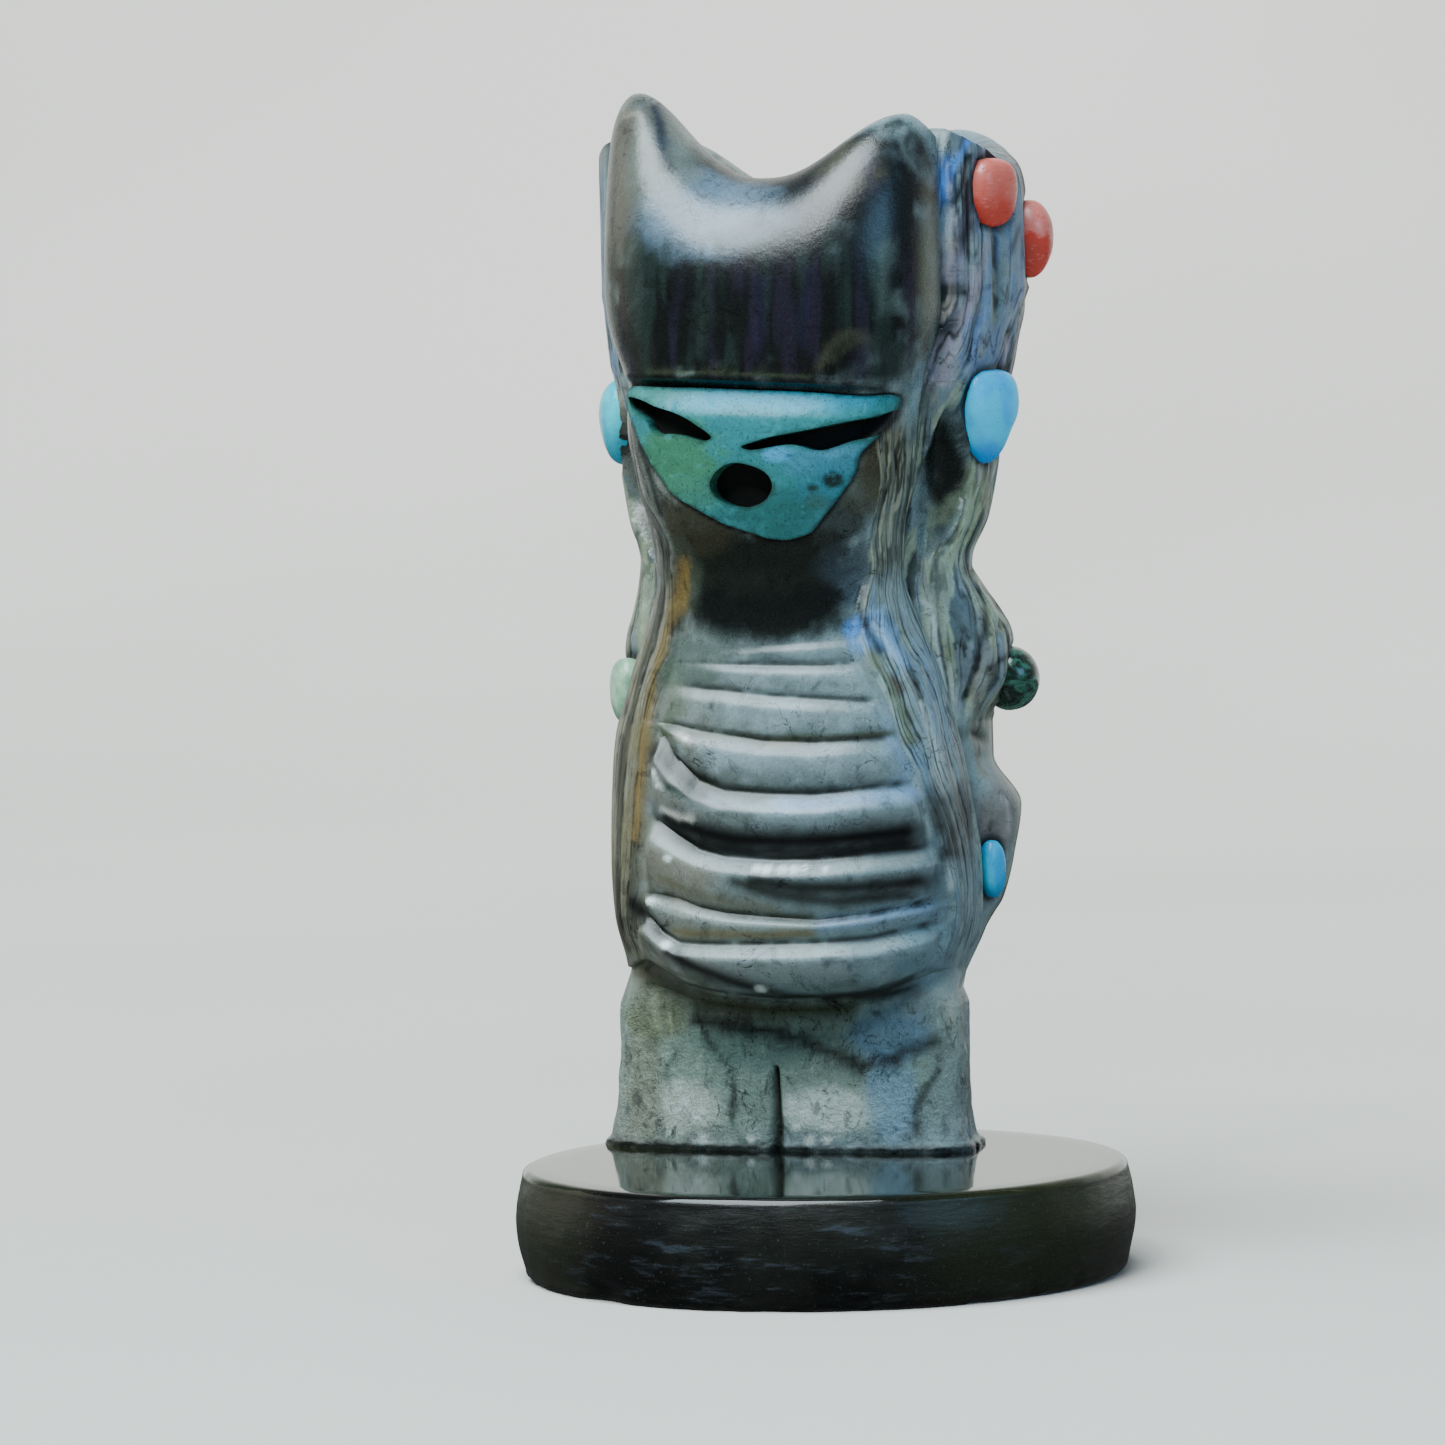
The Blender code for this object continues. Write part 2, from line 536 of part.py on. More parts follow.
def offset_outline(outline, distance):
    """Move a closed outline outwards by a distance."""
    points = [Vector(point) for point in outline]
    count = len(points)
    area = sum(points[i - 1].cross(points[i]) for i in range(count))
    moved = []
    for i in range(count):
        way = (points[(i + 1) % count] - points[i - 1]).normalized()
        out = Vector((way.y, -way.x)) * (1.0 if area > 0.0 else -1.0)
        moved.append(tuple(points[i] + out * distance))
    return moved


def oval(at, half_width, half_height, sides=20):
    """Points round an upright oval."""
    turns = [2.0 * math.pi * i / sides for i in range(sides)]
    return [(at[0] + half_width * math.cos(t), at[1] + half_height * math.sin(t)) for t in turns]


def set_stone(name, finish, at, half, turn, gap=0.0):
    """An oval dome of stone that sits half in the figure. A gap makes it the tool that cuts its pocket."""
    shape = bmesh.new()
    bmesh.ops.create_uvsphere(shape, u_segments=STONE_SEGMENTS, v_segments=STONE_RINGS, radius=1.0)
    size = [(value + gap) * UNIT for value in half]
    place = Matrix.Translation(Vector(at) * UNIT)
    place @= Matrix.Rotation(math.radians(-turn), 4, "Z") @ Matrix.Diagonal((*size, 1.0))
    bmesh.ops.transform(shape, matrix=place, verts=shape.verts)
    mesh = bpy.data.meshes.new(name)
    shape.to_mesh(mesh)
    shape.free()
    stone = add_object(name, mesh, finish)
    stone.location = FIGURE_PLACE
    return stone


def make_base():
    """The round slab: a turned profile with a slightly swollen side and rounded edges."""
    sweep = 3
    edge, top = BASE_EDGE_ROUND, BASE_THICKNESS
    edge_x = BASE_RADIUS - BASE_BULGE - edge
    profile = [(0.0, top)]
    for centre_z, start in ((top - edge, 90.0), (edge, 0.0)):
        for step in range(sweep + 1):
            turn = math.radians(start - 90.0 * step / sweep)
            profile.append((edge_x + edge * math.cos(turn), centre_z + edge * math.sin(turn)))
        if start > 0.0:
            profile.append((BASE_RADIUS, top / 2.0))
    profile.append((0.0, 0.0))
    mesh = bpy.data.meshes.new("base_slab")
    verts = [(x, 0.0, z) for x, z in profile]
    mesh.from_pydata(verts, [(i, i + 1) for i in range(len(verts) - 1)], [])
    slab = add_object("base_slab", mesh, FINISHES["black"])
    turned = slab.modifiers.new("turned", "SCREW")
    turned.steps = turned.render_steps = 44
    turned.use_merge_vertices = True
    turned.merge_threshold = 0.00001
    turned.use_smooth_shade = True
    return slab


def make_figure():
    """The carved stone, before its pockets are cut."""
    figure = add_object("stone_figure", figure_mesh("stone_figure"), FINISHES["marble"])
    figure.location = FIGURE_PLACE
    return figure


def make_mask(figure):
    """The turquoise mask: a skin of the face inside its outline, cut through at the eyes and the mouth."""
    outline = rounded(MASK_OUTLINE)
    front_y = FRONT[:, 3].min() - TOOL_CLEAR
    core = add_object("face_core", figure_mesh("face_core", MASK_UNITS))
    core.location = FIGURE_PLACE
    pocket_outline = offset_outline(outline, GAP_UNITS)
    pocket = add_object("mask_pocket", prism("mask_pocket", pocket_outline, front_y, MASK_BACK_Y))
    pocket.location = FIGURE_PLACE
    cut(pocket, core)
    cut(figure, pocket)

    thin_core = add_object("mask_back", figure_mesh("mask_back", MASK_UNITS - GAP_UNITS))
    thin_core.location = FIGURE_PLACE
    skin = add_object("face_skin", figure_mesh("face_skin"))
    skin.location = FIGURE_PLACE
    blank = prism("turquoise_mask", outline, front_y, MASK_BACK_Y - GAP_UNITS)
    mask = add_object("turquoise_mask", blank, FINISHES["turquoise"])
    mask.location = FIGURE_PLACE
    cut(mask, skin, "INTERSECT")
    cut(mask, thin_core)
    holes = dict(right_eye=RIGHT_EYE, left_eye=LEFT_EYE, mouth=oval(**MOUTH))
    for name, hole in holes.items():
        tool = add_object("mask_" + name, prism("mask_" + name, hole, front_y, MASK_BACK_Y + TOOL_CLEAR))
        tool.location = FIGURE_PLACE
        cut(mask, tool)
    return mask


def make_set_stones(figure):
    """Every stone that is let into the figure, each with its own pocket."""
    stones = (
        ("ear_stone_right", "sky", EAR_STONE),
        ("ear_stone_left", "sky", EAR_STONE_LEFT),
        ("coral_front_right", "coral", CORAL_FRONT),
        ("coral_rear_right", "coral", CORAL_REAR),
        ("coral_rear_left", "coral", CORAL_REAR_LEFT),
        ("elbow_bead_right", "malachite", ELBOW_BEAD),
        ("elbow_stone_left", "mint", ELBOW_STONE),
        ("hip_stone_right", "sky", HIP_STONE),
    )
    for name, finish, sizes in stones:
        set_stone(name, FINISHES[finish], **sizes)
        pocket = set_stone(name + "_pocket", None, gap=GAP_UNITS, **sizes)
        cut(figure, pocket)


def make_notch(figure):
    """The narrow wedge that parts the feet, front and back."""
    foot = NOTCH_WIDTH / 2.0
    top = foot / NOTCH_TAPER
    outline = ((-foot, -TOOL_CLEAR), (foot, -TOOL_CLEAR), (top, NOTCH_HEIGHT), (-top, NOTCH_HEIGHT))
    front_y, back_y = FRONT[0, 3], REAR[0, 3]
    for name, near_y, far_y in (("notch_front", front_y - TOOL_CLEAR, front_y + NOTCH_DEPTH),
                                ("notch_rear", back_y - NOTCH_DEPTH, back_y + TOOL_CLEAR)):
        tool = add_object(name, prism(name, outline, near_y, far_y))
        tool.location = FIGURE_PLACE
        cut(figure, tool)


make_base()
stone_figure = make_figure()
make_notch(stone_figure)
make_mask(stone_figure)
make_set_stones(stone_figure)
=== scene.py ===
# %% [markdown]
# # Stone fetish carving
#
# The object is a small carving, 68 mm high. A figure is cut from one piece of veined marble. Its front is a
# maiden with a horned crown and its back is a second, plainer maiden. A turquoise mask and small coloured
# stones are let into the marble, and the figure is glued to a round slab of polished black stone.
#
# This file makes the finished look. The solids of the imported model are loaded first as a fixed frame, and
# each finer piece made here takes the place of one of those solids.

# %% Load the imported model
import math

import bpy
import numpy as np
from mathutils import Matrix, Vector, noise


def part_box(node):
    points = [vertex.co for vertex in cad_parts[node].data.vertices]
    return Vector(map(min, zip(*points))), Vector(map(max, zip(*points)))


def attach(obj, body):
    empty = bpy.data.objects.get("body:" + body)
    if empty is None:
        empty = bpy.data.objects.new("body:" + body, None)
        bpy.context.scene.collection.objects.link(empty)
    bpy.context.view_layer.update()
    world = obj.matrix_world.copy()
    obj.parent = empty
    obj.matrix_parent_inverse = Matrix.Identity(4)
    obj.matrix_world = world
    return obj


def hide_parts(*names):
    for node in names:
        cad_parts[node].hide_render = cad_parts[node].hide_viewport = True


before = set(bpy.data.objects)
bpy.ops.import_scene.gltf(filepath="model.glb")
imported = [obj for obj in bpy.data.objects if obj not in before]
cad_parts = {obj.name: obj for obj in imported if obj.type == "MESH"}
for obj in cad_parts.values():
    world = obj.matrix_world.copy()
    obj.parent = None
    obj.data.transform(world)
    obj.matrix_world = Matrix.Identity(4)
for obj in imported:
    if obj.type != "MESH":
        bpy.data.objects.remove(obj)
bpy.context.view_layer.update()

bpy.ops.object.select_all(action="DESELECT")
print("solids loaded:", len(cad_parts))

# %% [markdown]
# ## Units and the place of the figure
#
# Blender works in metres, but a carving this small is easier to think of in millimetres. Every size of the
# object below is in millimetres, and MM turns it into metres at the last moment. The figure stands to the
# left of the middle of the slab and towards its back, so its own sizes are given from the point between its
# feet. That point is a little above the slab, because a thin layer of glue lies between them.

# %% Units and places
MM = 0.001
SLAB_LOW, SLAB_HIGH = (Vector(corner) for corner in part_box("base_slab"))
SLAB_RADIUS = (SLAB_HIGH.x - SLAB_LOW.x) / 2.0 / MM
SLAB_TOP = SLAB_HIGH.z / MM
FIGURE_AT = np.array([-4.2, 6.2, 6.6])
print("slab radius and thickness, mm:", round(SLAB_RADIUS, 2), round(SLAB_TOP, 2))

# %% [markdown]
# ## The camera
#
# The photograph was taken from close by, a little to the right of the front and almost level. A long lens
# at 350 mm from the object gives the same slight perspective. The three directions of the camera are written
# as the columns of its matrix: right, up and backwards. That holds the small roll of a hand-held picture.

# %% Camera
FILM_WIDTH = 36.0
LENS = 151.7
CAMERA_AT = Vector((0.10816, -0.33287, 0.0485))
HEADING = math.radians(18.88)
PITCH = math.radians(-2.74)
ROLL = math.radians(1.2)

camera = bpy.data.objects.new("camera", bpy.data.cameras.new("camera"))
bpy.context.scene.collection.objects.link(camera)
bpy.context.scene.camera = camera
camera.data.sensor_width = FILM_WIDTH
camera.data.lens = LENS
camera.data.clip_start = 0.01

ahead = Vector((-math.sin(HEADING) * math.cos(PITCH), math.cos(HEADING) * math.cos(PITCH), math.sin(PITCH)))
level = ahead.cross(Vector((0.0, 0.0, 1.0))).normalized()
upright = level.cross(ahead)
right = level * math.cos(ROLL) - upright * math.sin(ROLL)
up = right.cross(ahead)
camera.matrix_world = Matrix.Translation(CAMERA_AT) @ Matrix((right, up, -ahead)).transposed().to_4x4()
print("camera distance, mm:", round(CAMERA_AT.length / MM))

# %% [markdown]
# ## The floor
#
# The floor is one sheet that rises behind the object in a soft curve, as a photographer's paper sweep does,
# so no horizon line shows. It starts as a plane, and its back edge is extruded upwards and then bevelled.
#
# Polished black stone mirrors what lies around it, and pale paper in front would turn it grey. Photographers
# lay black card there, just out of the picture. Here the flat part of the paper becomes a piece of its own
# that reflections don't see, and the rising part behind still gives the slab its pale sheen.

# %% Floor
PAPER_SIZE = 3.0
PAPER_Y = -0.45
BACK_Y = PAPER_Y + PAPER_SIZE / 2.0
RISE = 1.6
BEND = 0.75
BEND_STEPS = 40


def choose(piece, kind, wanted):
    """Select the edges or the faces whose corners all pass a test, and go to edit mode."""
    bpy.ops.object.mode_set(mode="EDIT")
    bpy.ops.mesh.select_all(action="DESELECT")
    bpy.ops.object.mode_set(mode="OBJECT")
    for part in getattr(piece.data, kind):
        part.select = all(wanted(piece.data.vertices[i].co) for i in part.vertices)
    bpy.ops.object.mode_set(mode="EDIT")


bpy.ops.mesh.primitive_plane_add(size=PAPER_SIZE, location=(0.0, PAPER_Y, 0.0))
sweep = bpy.context.object
sweep.name = "paper_sweep"
bpy.ops.object.transform_apply(location=True, rotation=True, scale=True)
choose(sweep, "edges", lambda corner: corner.y > BACK_Y - 0.05)
bpy.ops.mesh.extrude_region_move(TRANSFORM_OT_translate={"value": (0.0, 0.0, RISE)})
choose(sweep, "edges", lambda corner: corner.y > BACK_Y - 0.05 and corner.z < 0.1)
bpy.ops.mesh.bevel(offset=BEND, segments=BEND_STEPS)
bpy.ops.object.mode_set(mode="OBJECT")
bpy.ops.object.shade_smooth()
choose(sweep, "polygons", lambda corner: corner.z < 1e-5)
bpy.ops.mesh.separate(type="SELECTED")
bpy.ops.object.mode_set(mode="OBJECT")
paper_floor = next(item for item in bpy.context.selected_objects if item != sweep)
paper_floor.name = "paper_floor"
paper_floor.visible_glossy = False
for sheet in (sweep, paper_floor):
    print(sheet.name, "vertices:", len(sheet.data.vertices))

# %% [markdown]
# ## The light
#
# A soft window hangs above the left of the camera and makes the broad highlight on the crown. A small blue
# window at the right gives that side its cold tint, and a faint warm wall stands at the left. Two lamps the
# size of a coin make the small glints. One more box hangs behind and lights the rising part of the paper,
# so that it stays pale. The room itself is dim, and black stone stays black.

# %% Lights
# Name, azimuth, elevation, distance, width, height, power in watts, colour
LIGHTS = (
    ("overhead_window", -30.0, 64.0, 1.1, 0.90, 0.90, 44.0, (0.78, 0.92, 0.97)),
    ("blue_window", 66.0, 24.0, 0.60, 0.30, 0.20, 0.90, (0.30, 0.62, 1.0)),
    ("warm_wall", -92.0, 16.0, 0.70, 0.50, 0.40, 0.55, (1.0, 0.88, 0.72)),
    ("small_lamp", -4.0, 44.0, 0.70, 0.02, 0.02, 0.70, (1.0, 0.98, 0.94)),
    ("small_lamp_right", 24.0, 50.0, 0.70, 0.015, 0.015, 0.40, (1.0, 1.0, 1.0)),
    ("backdrop_light", 180.0, 62.0, 0.75, 1.6, 0.5, 11.0, (1.0, 0.99, 0.97)),
)
AIM = Vector((0.0, 0.0, 0.035))


def soft_light(name, azimuth, elevation, distance, width, height, power, colour):
    """A soft box that faces the object from an azimuth, where 0 is the front and 90 the right."""
    turn, rise = math.radians(azimuth), math.radians(elevation)
    way = Vector((math.sin(turn) * math.cos(rise), -math.cos(turn) * math.cos(rise), math.sin(rise)))
    light = bpy.data.lights.new(name, "AREA")
    light.shape = "RECTANGLE"
    light.size = width
    light.size_y = height
    light.energy = power
    light.color = colour
    lamp = bpy.data.objects.new(name, light)
    lamp.location = AIM + way * distance
    lamp.rotation_euler = (-way).to_track_quat("-Z", "Y").to_euler()
    bpy.context.scene.collection.objects.link(lamp)
    return lamp


lamps = {light[0]: soft_light(*light) for light in LIGHTS}
backwards_and_down = Vector((0.0, 1.0, -0.55))
lamps["backdrop_light"].rotation_euler = backwards_and_down.to_track_quat("-Z", "Y").to_euler()
print("lights:", len(lamps))

world = bpy.data.worlds.new("dim_room")
bpy.context.scene.world = world
world.use_nodes = True
world.node_tree.nodes["Background"].inputs["Color"].default_value = (0.62, 0.66, 0.70, 1.0)
world.node_tree.nodes["Background"].inputs["Strength"].default_value = 0.16

# %% [markdown]
# ## The figure's outlines
#
# A carver starts from a block and works inwards. In code the same form is a loft: at each height the figure
# has one closed outline, and the outlines are joined into a skin. The tables below give the outline at the
# heights that matter, and a smooth reading between their rows gives all the others. The front maiden is a
# rounded half outline, the side swings out in a flare, and the rear maiden closes it.

# %% Profile tables
# Front maiden: height, half width, y of the side groove, y of the front, squareness
FRONT = np.array([
    (0.0, 11.1, 0.7, -2.2, 3.2),
    (2.0, 10.7, 1.0, -2.2, 3.2),
    (8.7, 10.5, 1.6, -2.3, 3.1),
    (8.9, 10.3, 1.8, -4.6, 2.8),
    (10.0, 10.2, 3.2, -5.6, 2.6),
    (12.0, 10.7, 5.0, -6.1, 2.5),
    (15.5, 10.95, 4.7, -6.4, 2.5),
    (21.8, 10.55, 3.2, -6.1, 2.5),
    (27.3, 9.55, 2.0, -5.3, 2.4),
    (30.9, 8.25, 1.6, -4.7, 2.3),
    (33.4, 7.4, 1.7, -4.9, 2.3),
    (36.4, 7.8, 1.6, -6.3, 2.4),
    (38.7, 8.3, 1.7, -7.0, 2.5),
    (42.4, 8.85, 0.9, -7.4, 2.6),
    (44.1, 9.2, 0.6, -6.5, 2.6),
    (44.7, 9.35, 0.6, -7.1, 2.7),
    (49.3, 10.3, 1.1, -7.2, 2.7),
    (61.9, 10.4, 1.2, -7.2, 2.7),
])
# Rear maiden: height, half width, y of the widest plane, y of the back, squareness
REAR = np.array([
    (0.0, 10.9, 1.6, 6.6, 2.7),
    (2.0, 10.5, 1.9, 6.5, 2.7),
    (8.0, 10.3, 2.4, 6.8, 2.7),
    (9.3, 9.5, 4.0, 8.0, 2.6),
    (12.0, 10.3, 6.0, 10.2, 2.8),
    (13.6, 11.4, 6.0, 10.6, 2.8),
    (16.2, 12.1, 6.1, 10.9, 2.8),
    (19.3, 12.5, 6.6, 11.0, 2.8),
    (22.3, 11.0, 6.0, 10.4, 2.8),
    (24.3, 11.0, 6.0, 10.3, 2.8),
    (27.4, 11.9, 6.6, 10.9, 2.8),
    (29.5, 11.7, 6.6, 10.8, 2.8),
    (33.8, 10.2, 5.0, 9.6, 2.8),
    (36.8, 11.1, 5.8, 10.4, 2.8),
    (43.2, 12.1, 6.7, 10.8, 2.8),
    (49.0, 12.9, 7.8, 11.0, 2.8),
    (52.5, 13.0, 8.2, 11.0, 2.8),
    (61.9, 12.8, 8.0, 10.9, 2.8),
])
# Side groove between the two maidens: height, depth
GROOVE = np.array([(0.0, 0.0), (9.0, 0.1), (14.0, 0.4), (24.0, 0.7), (28.5, 1.2), (33.0, 0.8),
                   (44.0, 0.35), (61.9, 0.25)])
GROOVE_WIDTH = 0.6
# How much slimmer the left side is than the right: height, front maiden, rear maiden
LEFT_TRIM = np.array([(0.0, 0.0, 0.0), (24.0, 0.0, 0.0), (27.5, 0.35, 0.7), (30.5, 0.35, 0.7),
                      (34.0, 0.1, 0.2), (41.0, 0.1, 0.1), (44.7, 0.75, 0.5), (48.5, 0.55, 0.4),
                      (52.0, 0.25, 0.2), (56.0, 0.0, 0.0), (61.9, 0.0, 0.0)])
# Inner edges of the front maiden's hair falls: height, x of the left edge, x of the right edge
FALLS = np.array([(0.0, -8.0, 8.6), (11.5, -7.8, 9.8), (14.4, -7.3, 10.1), (18.5, -6.7, 9.8),
                  (22.0, -6.3, 8.9), (26.0, -5.8, 7.4), (30.0, -4.8, 5.8), (34.5, -4.6, 6.3),
                  (39.0, -7.0, 7.4), (61.9, -8.0, 8.0)])
# Inner edges of the rear maiden's hair: height, x on both sides
REAR_FALLS = np.array([(0.0, 8.4), (12.0, 8.8), (20.0, 8.0), (27.0, 6.8), (33.5, 6.2), (39.0, 7.4),
                       (44.0, 8.6), (61.9, 9.5)])
# How much the folds rise towards the sides: height, rise
CLIMB = np.array([(0.0, 0.0), (7.0, 0.1), (8.8, 1.6), (13.9, 1.4), (17.2, 1.1), (21.1, 0.8),
                  (26.6, 0.2), (30.0, 0.0), (61.9, 0.0)])
CLIMB_REACH = 10.0
CLIMB_LIMIT = 1.2


def along(table, column, height):
    """Read one column of a profile table at the given heights, eased between its rows."""
    levels = table[:, 0]
    values = table[:, column]
    spans = np.diff(levels)
    steps = np.diff(values) / spans
    slopes = np.zeros_like(values)
    same_way = steps[:-1] * steps[1:] > 0.0
    before, after = steps[:-1][same_way], steps[1:][same_way]
    slopes[1:-1][same_way] = 2.0 * before * after / (before + after)
    row = np.clip(np.searchsorted(levels, height, side="right") - 1, 0, len(spans) - 1)
    s = np.clip((height - levels[row]) / spans[row], 0.0, 1.0)
    ease_in = (1.0 + 2.0 * s) * (1.0 - s) ** 2
    ease_out = s * s * (3.0 - 2.0 * s)
    lift_in = s * (1.0 - s) ** 2 * spans[row] * slopes[row]
    lift_out = s * s * (s - 1.0) * spans[row] * slopes[row + 1]
    return ease_in * values[row] + ease_out * values[row + 1] + lift_in + lift_out


def smooth(low, high, value):
    """Rise from 0 to 1 as value goes from low to high."""
    s = np.clip((value - low) / (high - low), 0.0, 1.0)
    return s * s * (3.0 - 2.0 * s)


def superellipse(share, squareness):
    """Depth of a rounded half outline, as a share, where x is the given share of the half width."""
    return (1.0 - np.clip(np.abs(share), 0.0, 1.0) ** squareness) ** (1.0 / squareness)


print("profile rows:", len(FRONT), "front,", len(REAR), "rear")

# %% [markdown]
# ## One row of the skin
#
# Each closed outline has the same number of points, because points that face each other on two rows become
# one face of the skin. The columns are closer together where the carving is fine: on the front panel with
# its folds and on the hair that frames it. The back gets fewer.

# %% Outline of one height
PANEL_COLUMNS = 44
FALL_COLUMNS = 34
FLARE_COLUMNS = 40
REAR_FALL_COLUMNS = 14
HALF_COLUMNS = PANEL_COLUMNS + FALL_COLUMNS
REAR_PANEL_COLUMNS = HALF_COLUMNS - FLARE_COLUMNS - REAR_FALL_COLUMNS
COLUMNS = 4 * HALF_COLUMNS
EDGE_LIMITS = (0.2, 0.965)


def half_arc(width, base_y, deep_y, squareness, edge, panel_columns, fall_columns):
    """Points from the middle of a maiden's face to her side: x and y."""
    edge_share = np.clip(edge / width, *EDGE_LIMITS)
    turn = np.arcsin(edge_share ** (squareness / 2.0))
    panel = edge_share * np.arange(panel_columns) / panel_columns
    fall_turn = turn + (math.pi / 2.0 - turn) * np.arange(fall_columns + 1) / fall_columns
    share = np.concatenate([panel, np.sin(fall_turn) ** (2.0 / squareness)], axis=1)
    return width * share, base_y + (deep_y - base_y) * superellipse(share, squareness)


def front_half(height, side):
    """Outline points from the middle of the front to the side groove, for each height."""
    side_height = height + along(CLIMB, 1, height)
    width, groove_y = (along(FRONT, column, side_height)[:, None] for column in (1, 2))
    front_y, squareness = (along(FRONT, column, height)[:, None] for column in (3, 4))
    if side < 0:
        width = width - along(LEFT_TRIM, 1, side_height)[:, None]
    edge = np.abs(along(FALLS, 1 if side < 0 else 2, side_height))[:, None]
    x, y = half_arc(width, groove_y, front_y, squareness, edge, PANEL_COLUMNS, FALL_COLUMNS)
    return x - along(GROOVE, 1, side_height)[:, None] * np.exp(-((groove_y - y) / GROOVE_WIDTH) ** 2), y


def rear_half(height, side):
    """Outline points from the side groove, round the flare, to the middle of the back."""
    side_height = height + along(CLIMB, 1, height)
    start_x = (along(FRONT, 1, side_height) - along(GROOVE, 1, side_height))[:, None]
    start_y = along(FRONT, 2, side_height)[:, None]
    width, widest_y, back_y, squareness = (along(REAR, column, side_height)[:, None]
                                           for column in (1, 2, 3, 4))
    if side < 0:
        start_x = start_x - along(LEFT_TRIM, 1, side_height)[:, None]
        width = width - along(LEFT_TRIM, 2, side_height)[:, None]
    edge = along(REAR_FALLS, 1, side_height)[:, None]
    flare = math.pi / 2.0 * np.arange(FLARE_COLUMNS)[None, :] / FLARE_COLUMNS
    flare_x = start_x + (width - start_x) * np.sin(flare)
    flare_y = start_y + (widest_y - start_y) * (1.0 - np.cos(flare))
    x, y = half_arc(width, widest_y, back_y, squareness, edge, REAR_PANEL_COLUMNS, REAR_FALL_COLUMNS)
    return np.concatenate([flare_x, x[:, ::-1]], axis=1), np.concatenate([flare_y, y[:, ::-1]], axis=1)


def joined(right_front, right_rear, left_rear, left_front, mirror=1.0):
    """Join the quarters into closed rows, anticlockwise from the middle of the front. -1 mirrors x."""
    left_rear = left_rear[:, -2:0:-1] * mirror
    left_front = left_front[:, :0:-1] * mirror
    return np.concatenate([right_front[:, :-1], right_rear, left_rear, left_front], axis=1)


# Heights of the rows: closest together over the folds of the robe, and round the hem and the brow
ROWS = np.unique(np.round(np.concatenate([
    [-0.3, -0.2, -0.1, 0.0, 0.1, 0.2], np.arange(0.4, 8.4, 0.4), np.arange(8.4, 9.2, 0.08),
    np.arange(9.2, 30.4, 0.165), np.arange(30.4, 43.6, 0.26), np.arange(43.6, 45.2, 0.14),
    np.linspace(45.2, 50.0, 14)]), 3))
print("rows below the crown:", len(ROWS), " columns:", COLUMNS)

# %% [markdown]
# ## Places on the skin
#
# The carved detail is laid out on the skin as a carver would mark it on the stone: so far across the hair,
# so far round the side. These shares depend on the column alone, so they are worked out once.

# %% Shares across the hair and round the side
column = np.arange(COLUMNS)
steps = np.minimum(column, COLUMNS - column)
IS_RIGHT = (column > 0) & (column < COLUMNS // 2)
IS_FRONT = steps <= HALF_COLUMNS
# Across a front fall: 0 at its inner edge, 1 at the side groove, negative on the panel
FALL_SHARE = np.where(IS_FRONT, (steps - PANEL_COLUMNS) / FALL_COLUMNS, -9.0)[None, :]
# Round the side: 0 at the groove, 1 at the widest plane, 2 in the middle of the back
past_groove = steps - HALF_COLUMNS
past_flare = past_groove - FLARE_COLUMNS
round_share = np.where(past_flare < 0, past_groove / FLARE_COLUMNS,
                       1.0 + past_flare / (HALF_COLUMNS - FLARE_COLUMNS))
ROUND_SHARE = np.where(past_groove < 0, -9.0, round_share)[None, :]
# Across the rear hair: 0 at the widest plane, 1 at its inner edge
REAR_HAIR_SHARE = np.where(past_flare >= 0, past_flare / REAR_FALL_COLUMNS, -9.0)[None, :]
print("columns on the front:", int(IS_FRONT.sum()), "of", COLUMNS)

# %% [markdown]
# ## The folds of the robe
#
# Across the front run eight rounded folds. Each one is fullest near its top, where it catches the light, and
# slopes back to the groove below. The upper ones are shallow. The grooves aren't level: at the left some of
# them curl up and two folds end in a point. So each groove is a line, given by its height at a few places
# across the panel.

# %% Grooves between the folds
GROOVE_X = np.array([-7.5, -5.8, -4.6, -3.1, -1.5, 1.0, 4.0, 6.7, 9.5])
GROOVE_LINES = np.array([
    (11.0, 10.2, 9.6, 9.3, 9.1, 8.9, 9.0, 9.3, 10.4),
    (14.3, 12.9, 12.3, 12.25, 12.25, 12.3, 12.35, 12.5, 13.1),
    (15.1, 15.0, 14.8, 14.3, 14.0, 13.8, 13.6, 13.9, 14.4),
    (20.6, 19.3, 18.6, 17.8, 17.4, 17.2, 17.2, 17.4, 17.6),
    (25.3, 24.6, 23.0, 21.8, 21.2, 21.0, 20.9, 21.2, 21.4),
    (25.5, 25.0, 24.9, 24.6, 24.4, 24.0, 23.9, 24.0, 24.1),
    (27.3, 27.3, 27.2, 27.0, 26.9, 26.6, 26.4, 26.2, 26.2),
    (28.5, 28.5, 28.5, 28.5, 28.4, 28.35, 28.3, 28.4, 28.5),
    (29.0, 29.0, 29.0, 29.1, 29.2, 29.4, 29.6, 29.8, 29.9),
])
GROOVE_MIDDLE = 5
# Shares of a fold's height: where its rise ends, and where its turn to the groove above begins
RISE_ENDS = 0.80
TURN_BEGINS = 0.66
FOLD_SWELLS = (0.80, 0.42, 0.78, 0.85, 0.42, 0.30, 0.22, 0.18)
# The upper folds fade out towards the left: x where each one begins
FOLD_STARTS = (-12.0, -12.0, -12.0, -12.0, -7.0, -5.5, -3.5, -1.0)
REAR_GROOVES = (9.0, 12.8, 16.6, 20.4, 24.2, 28.0)


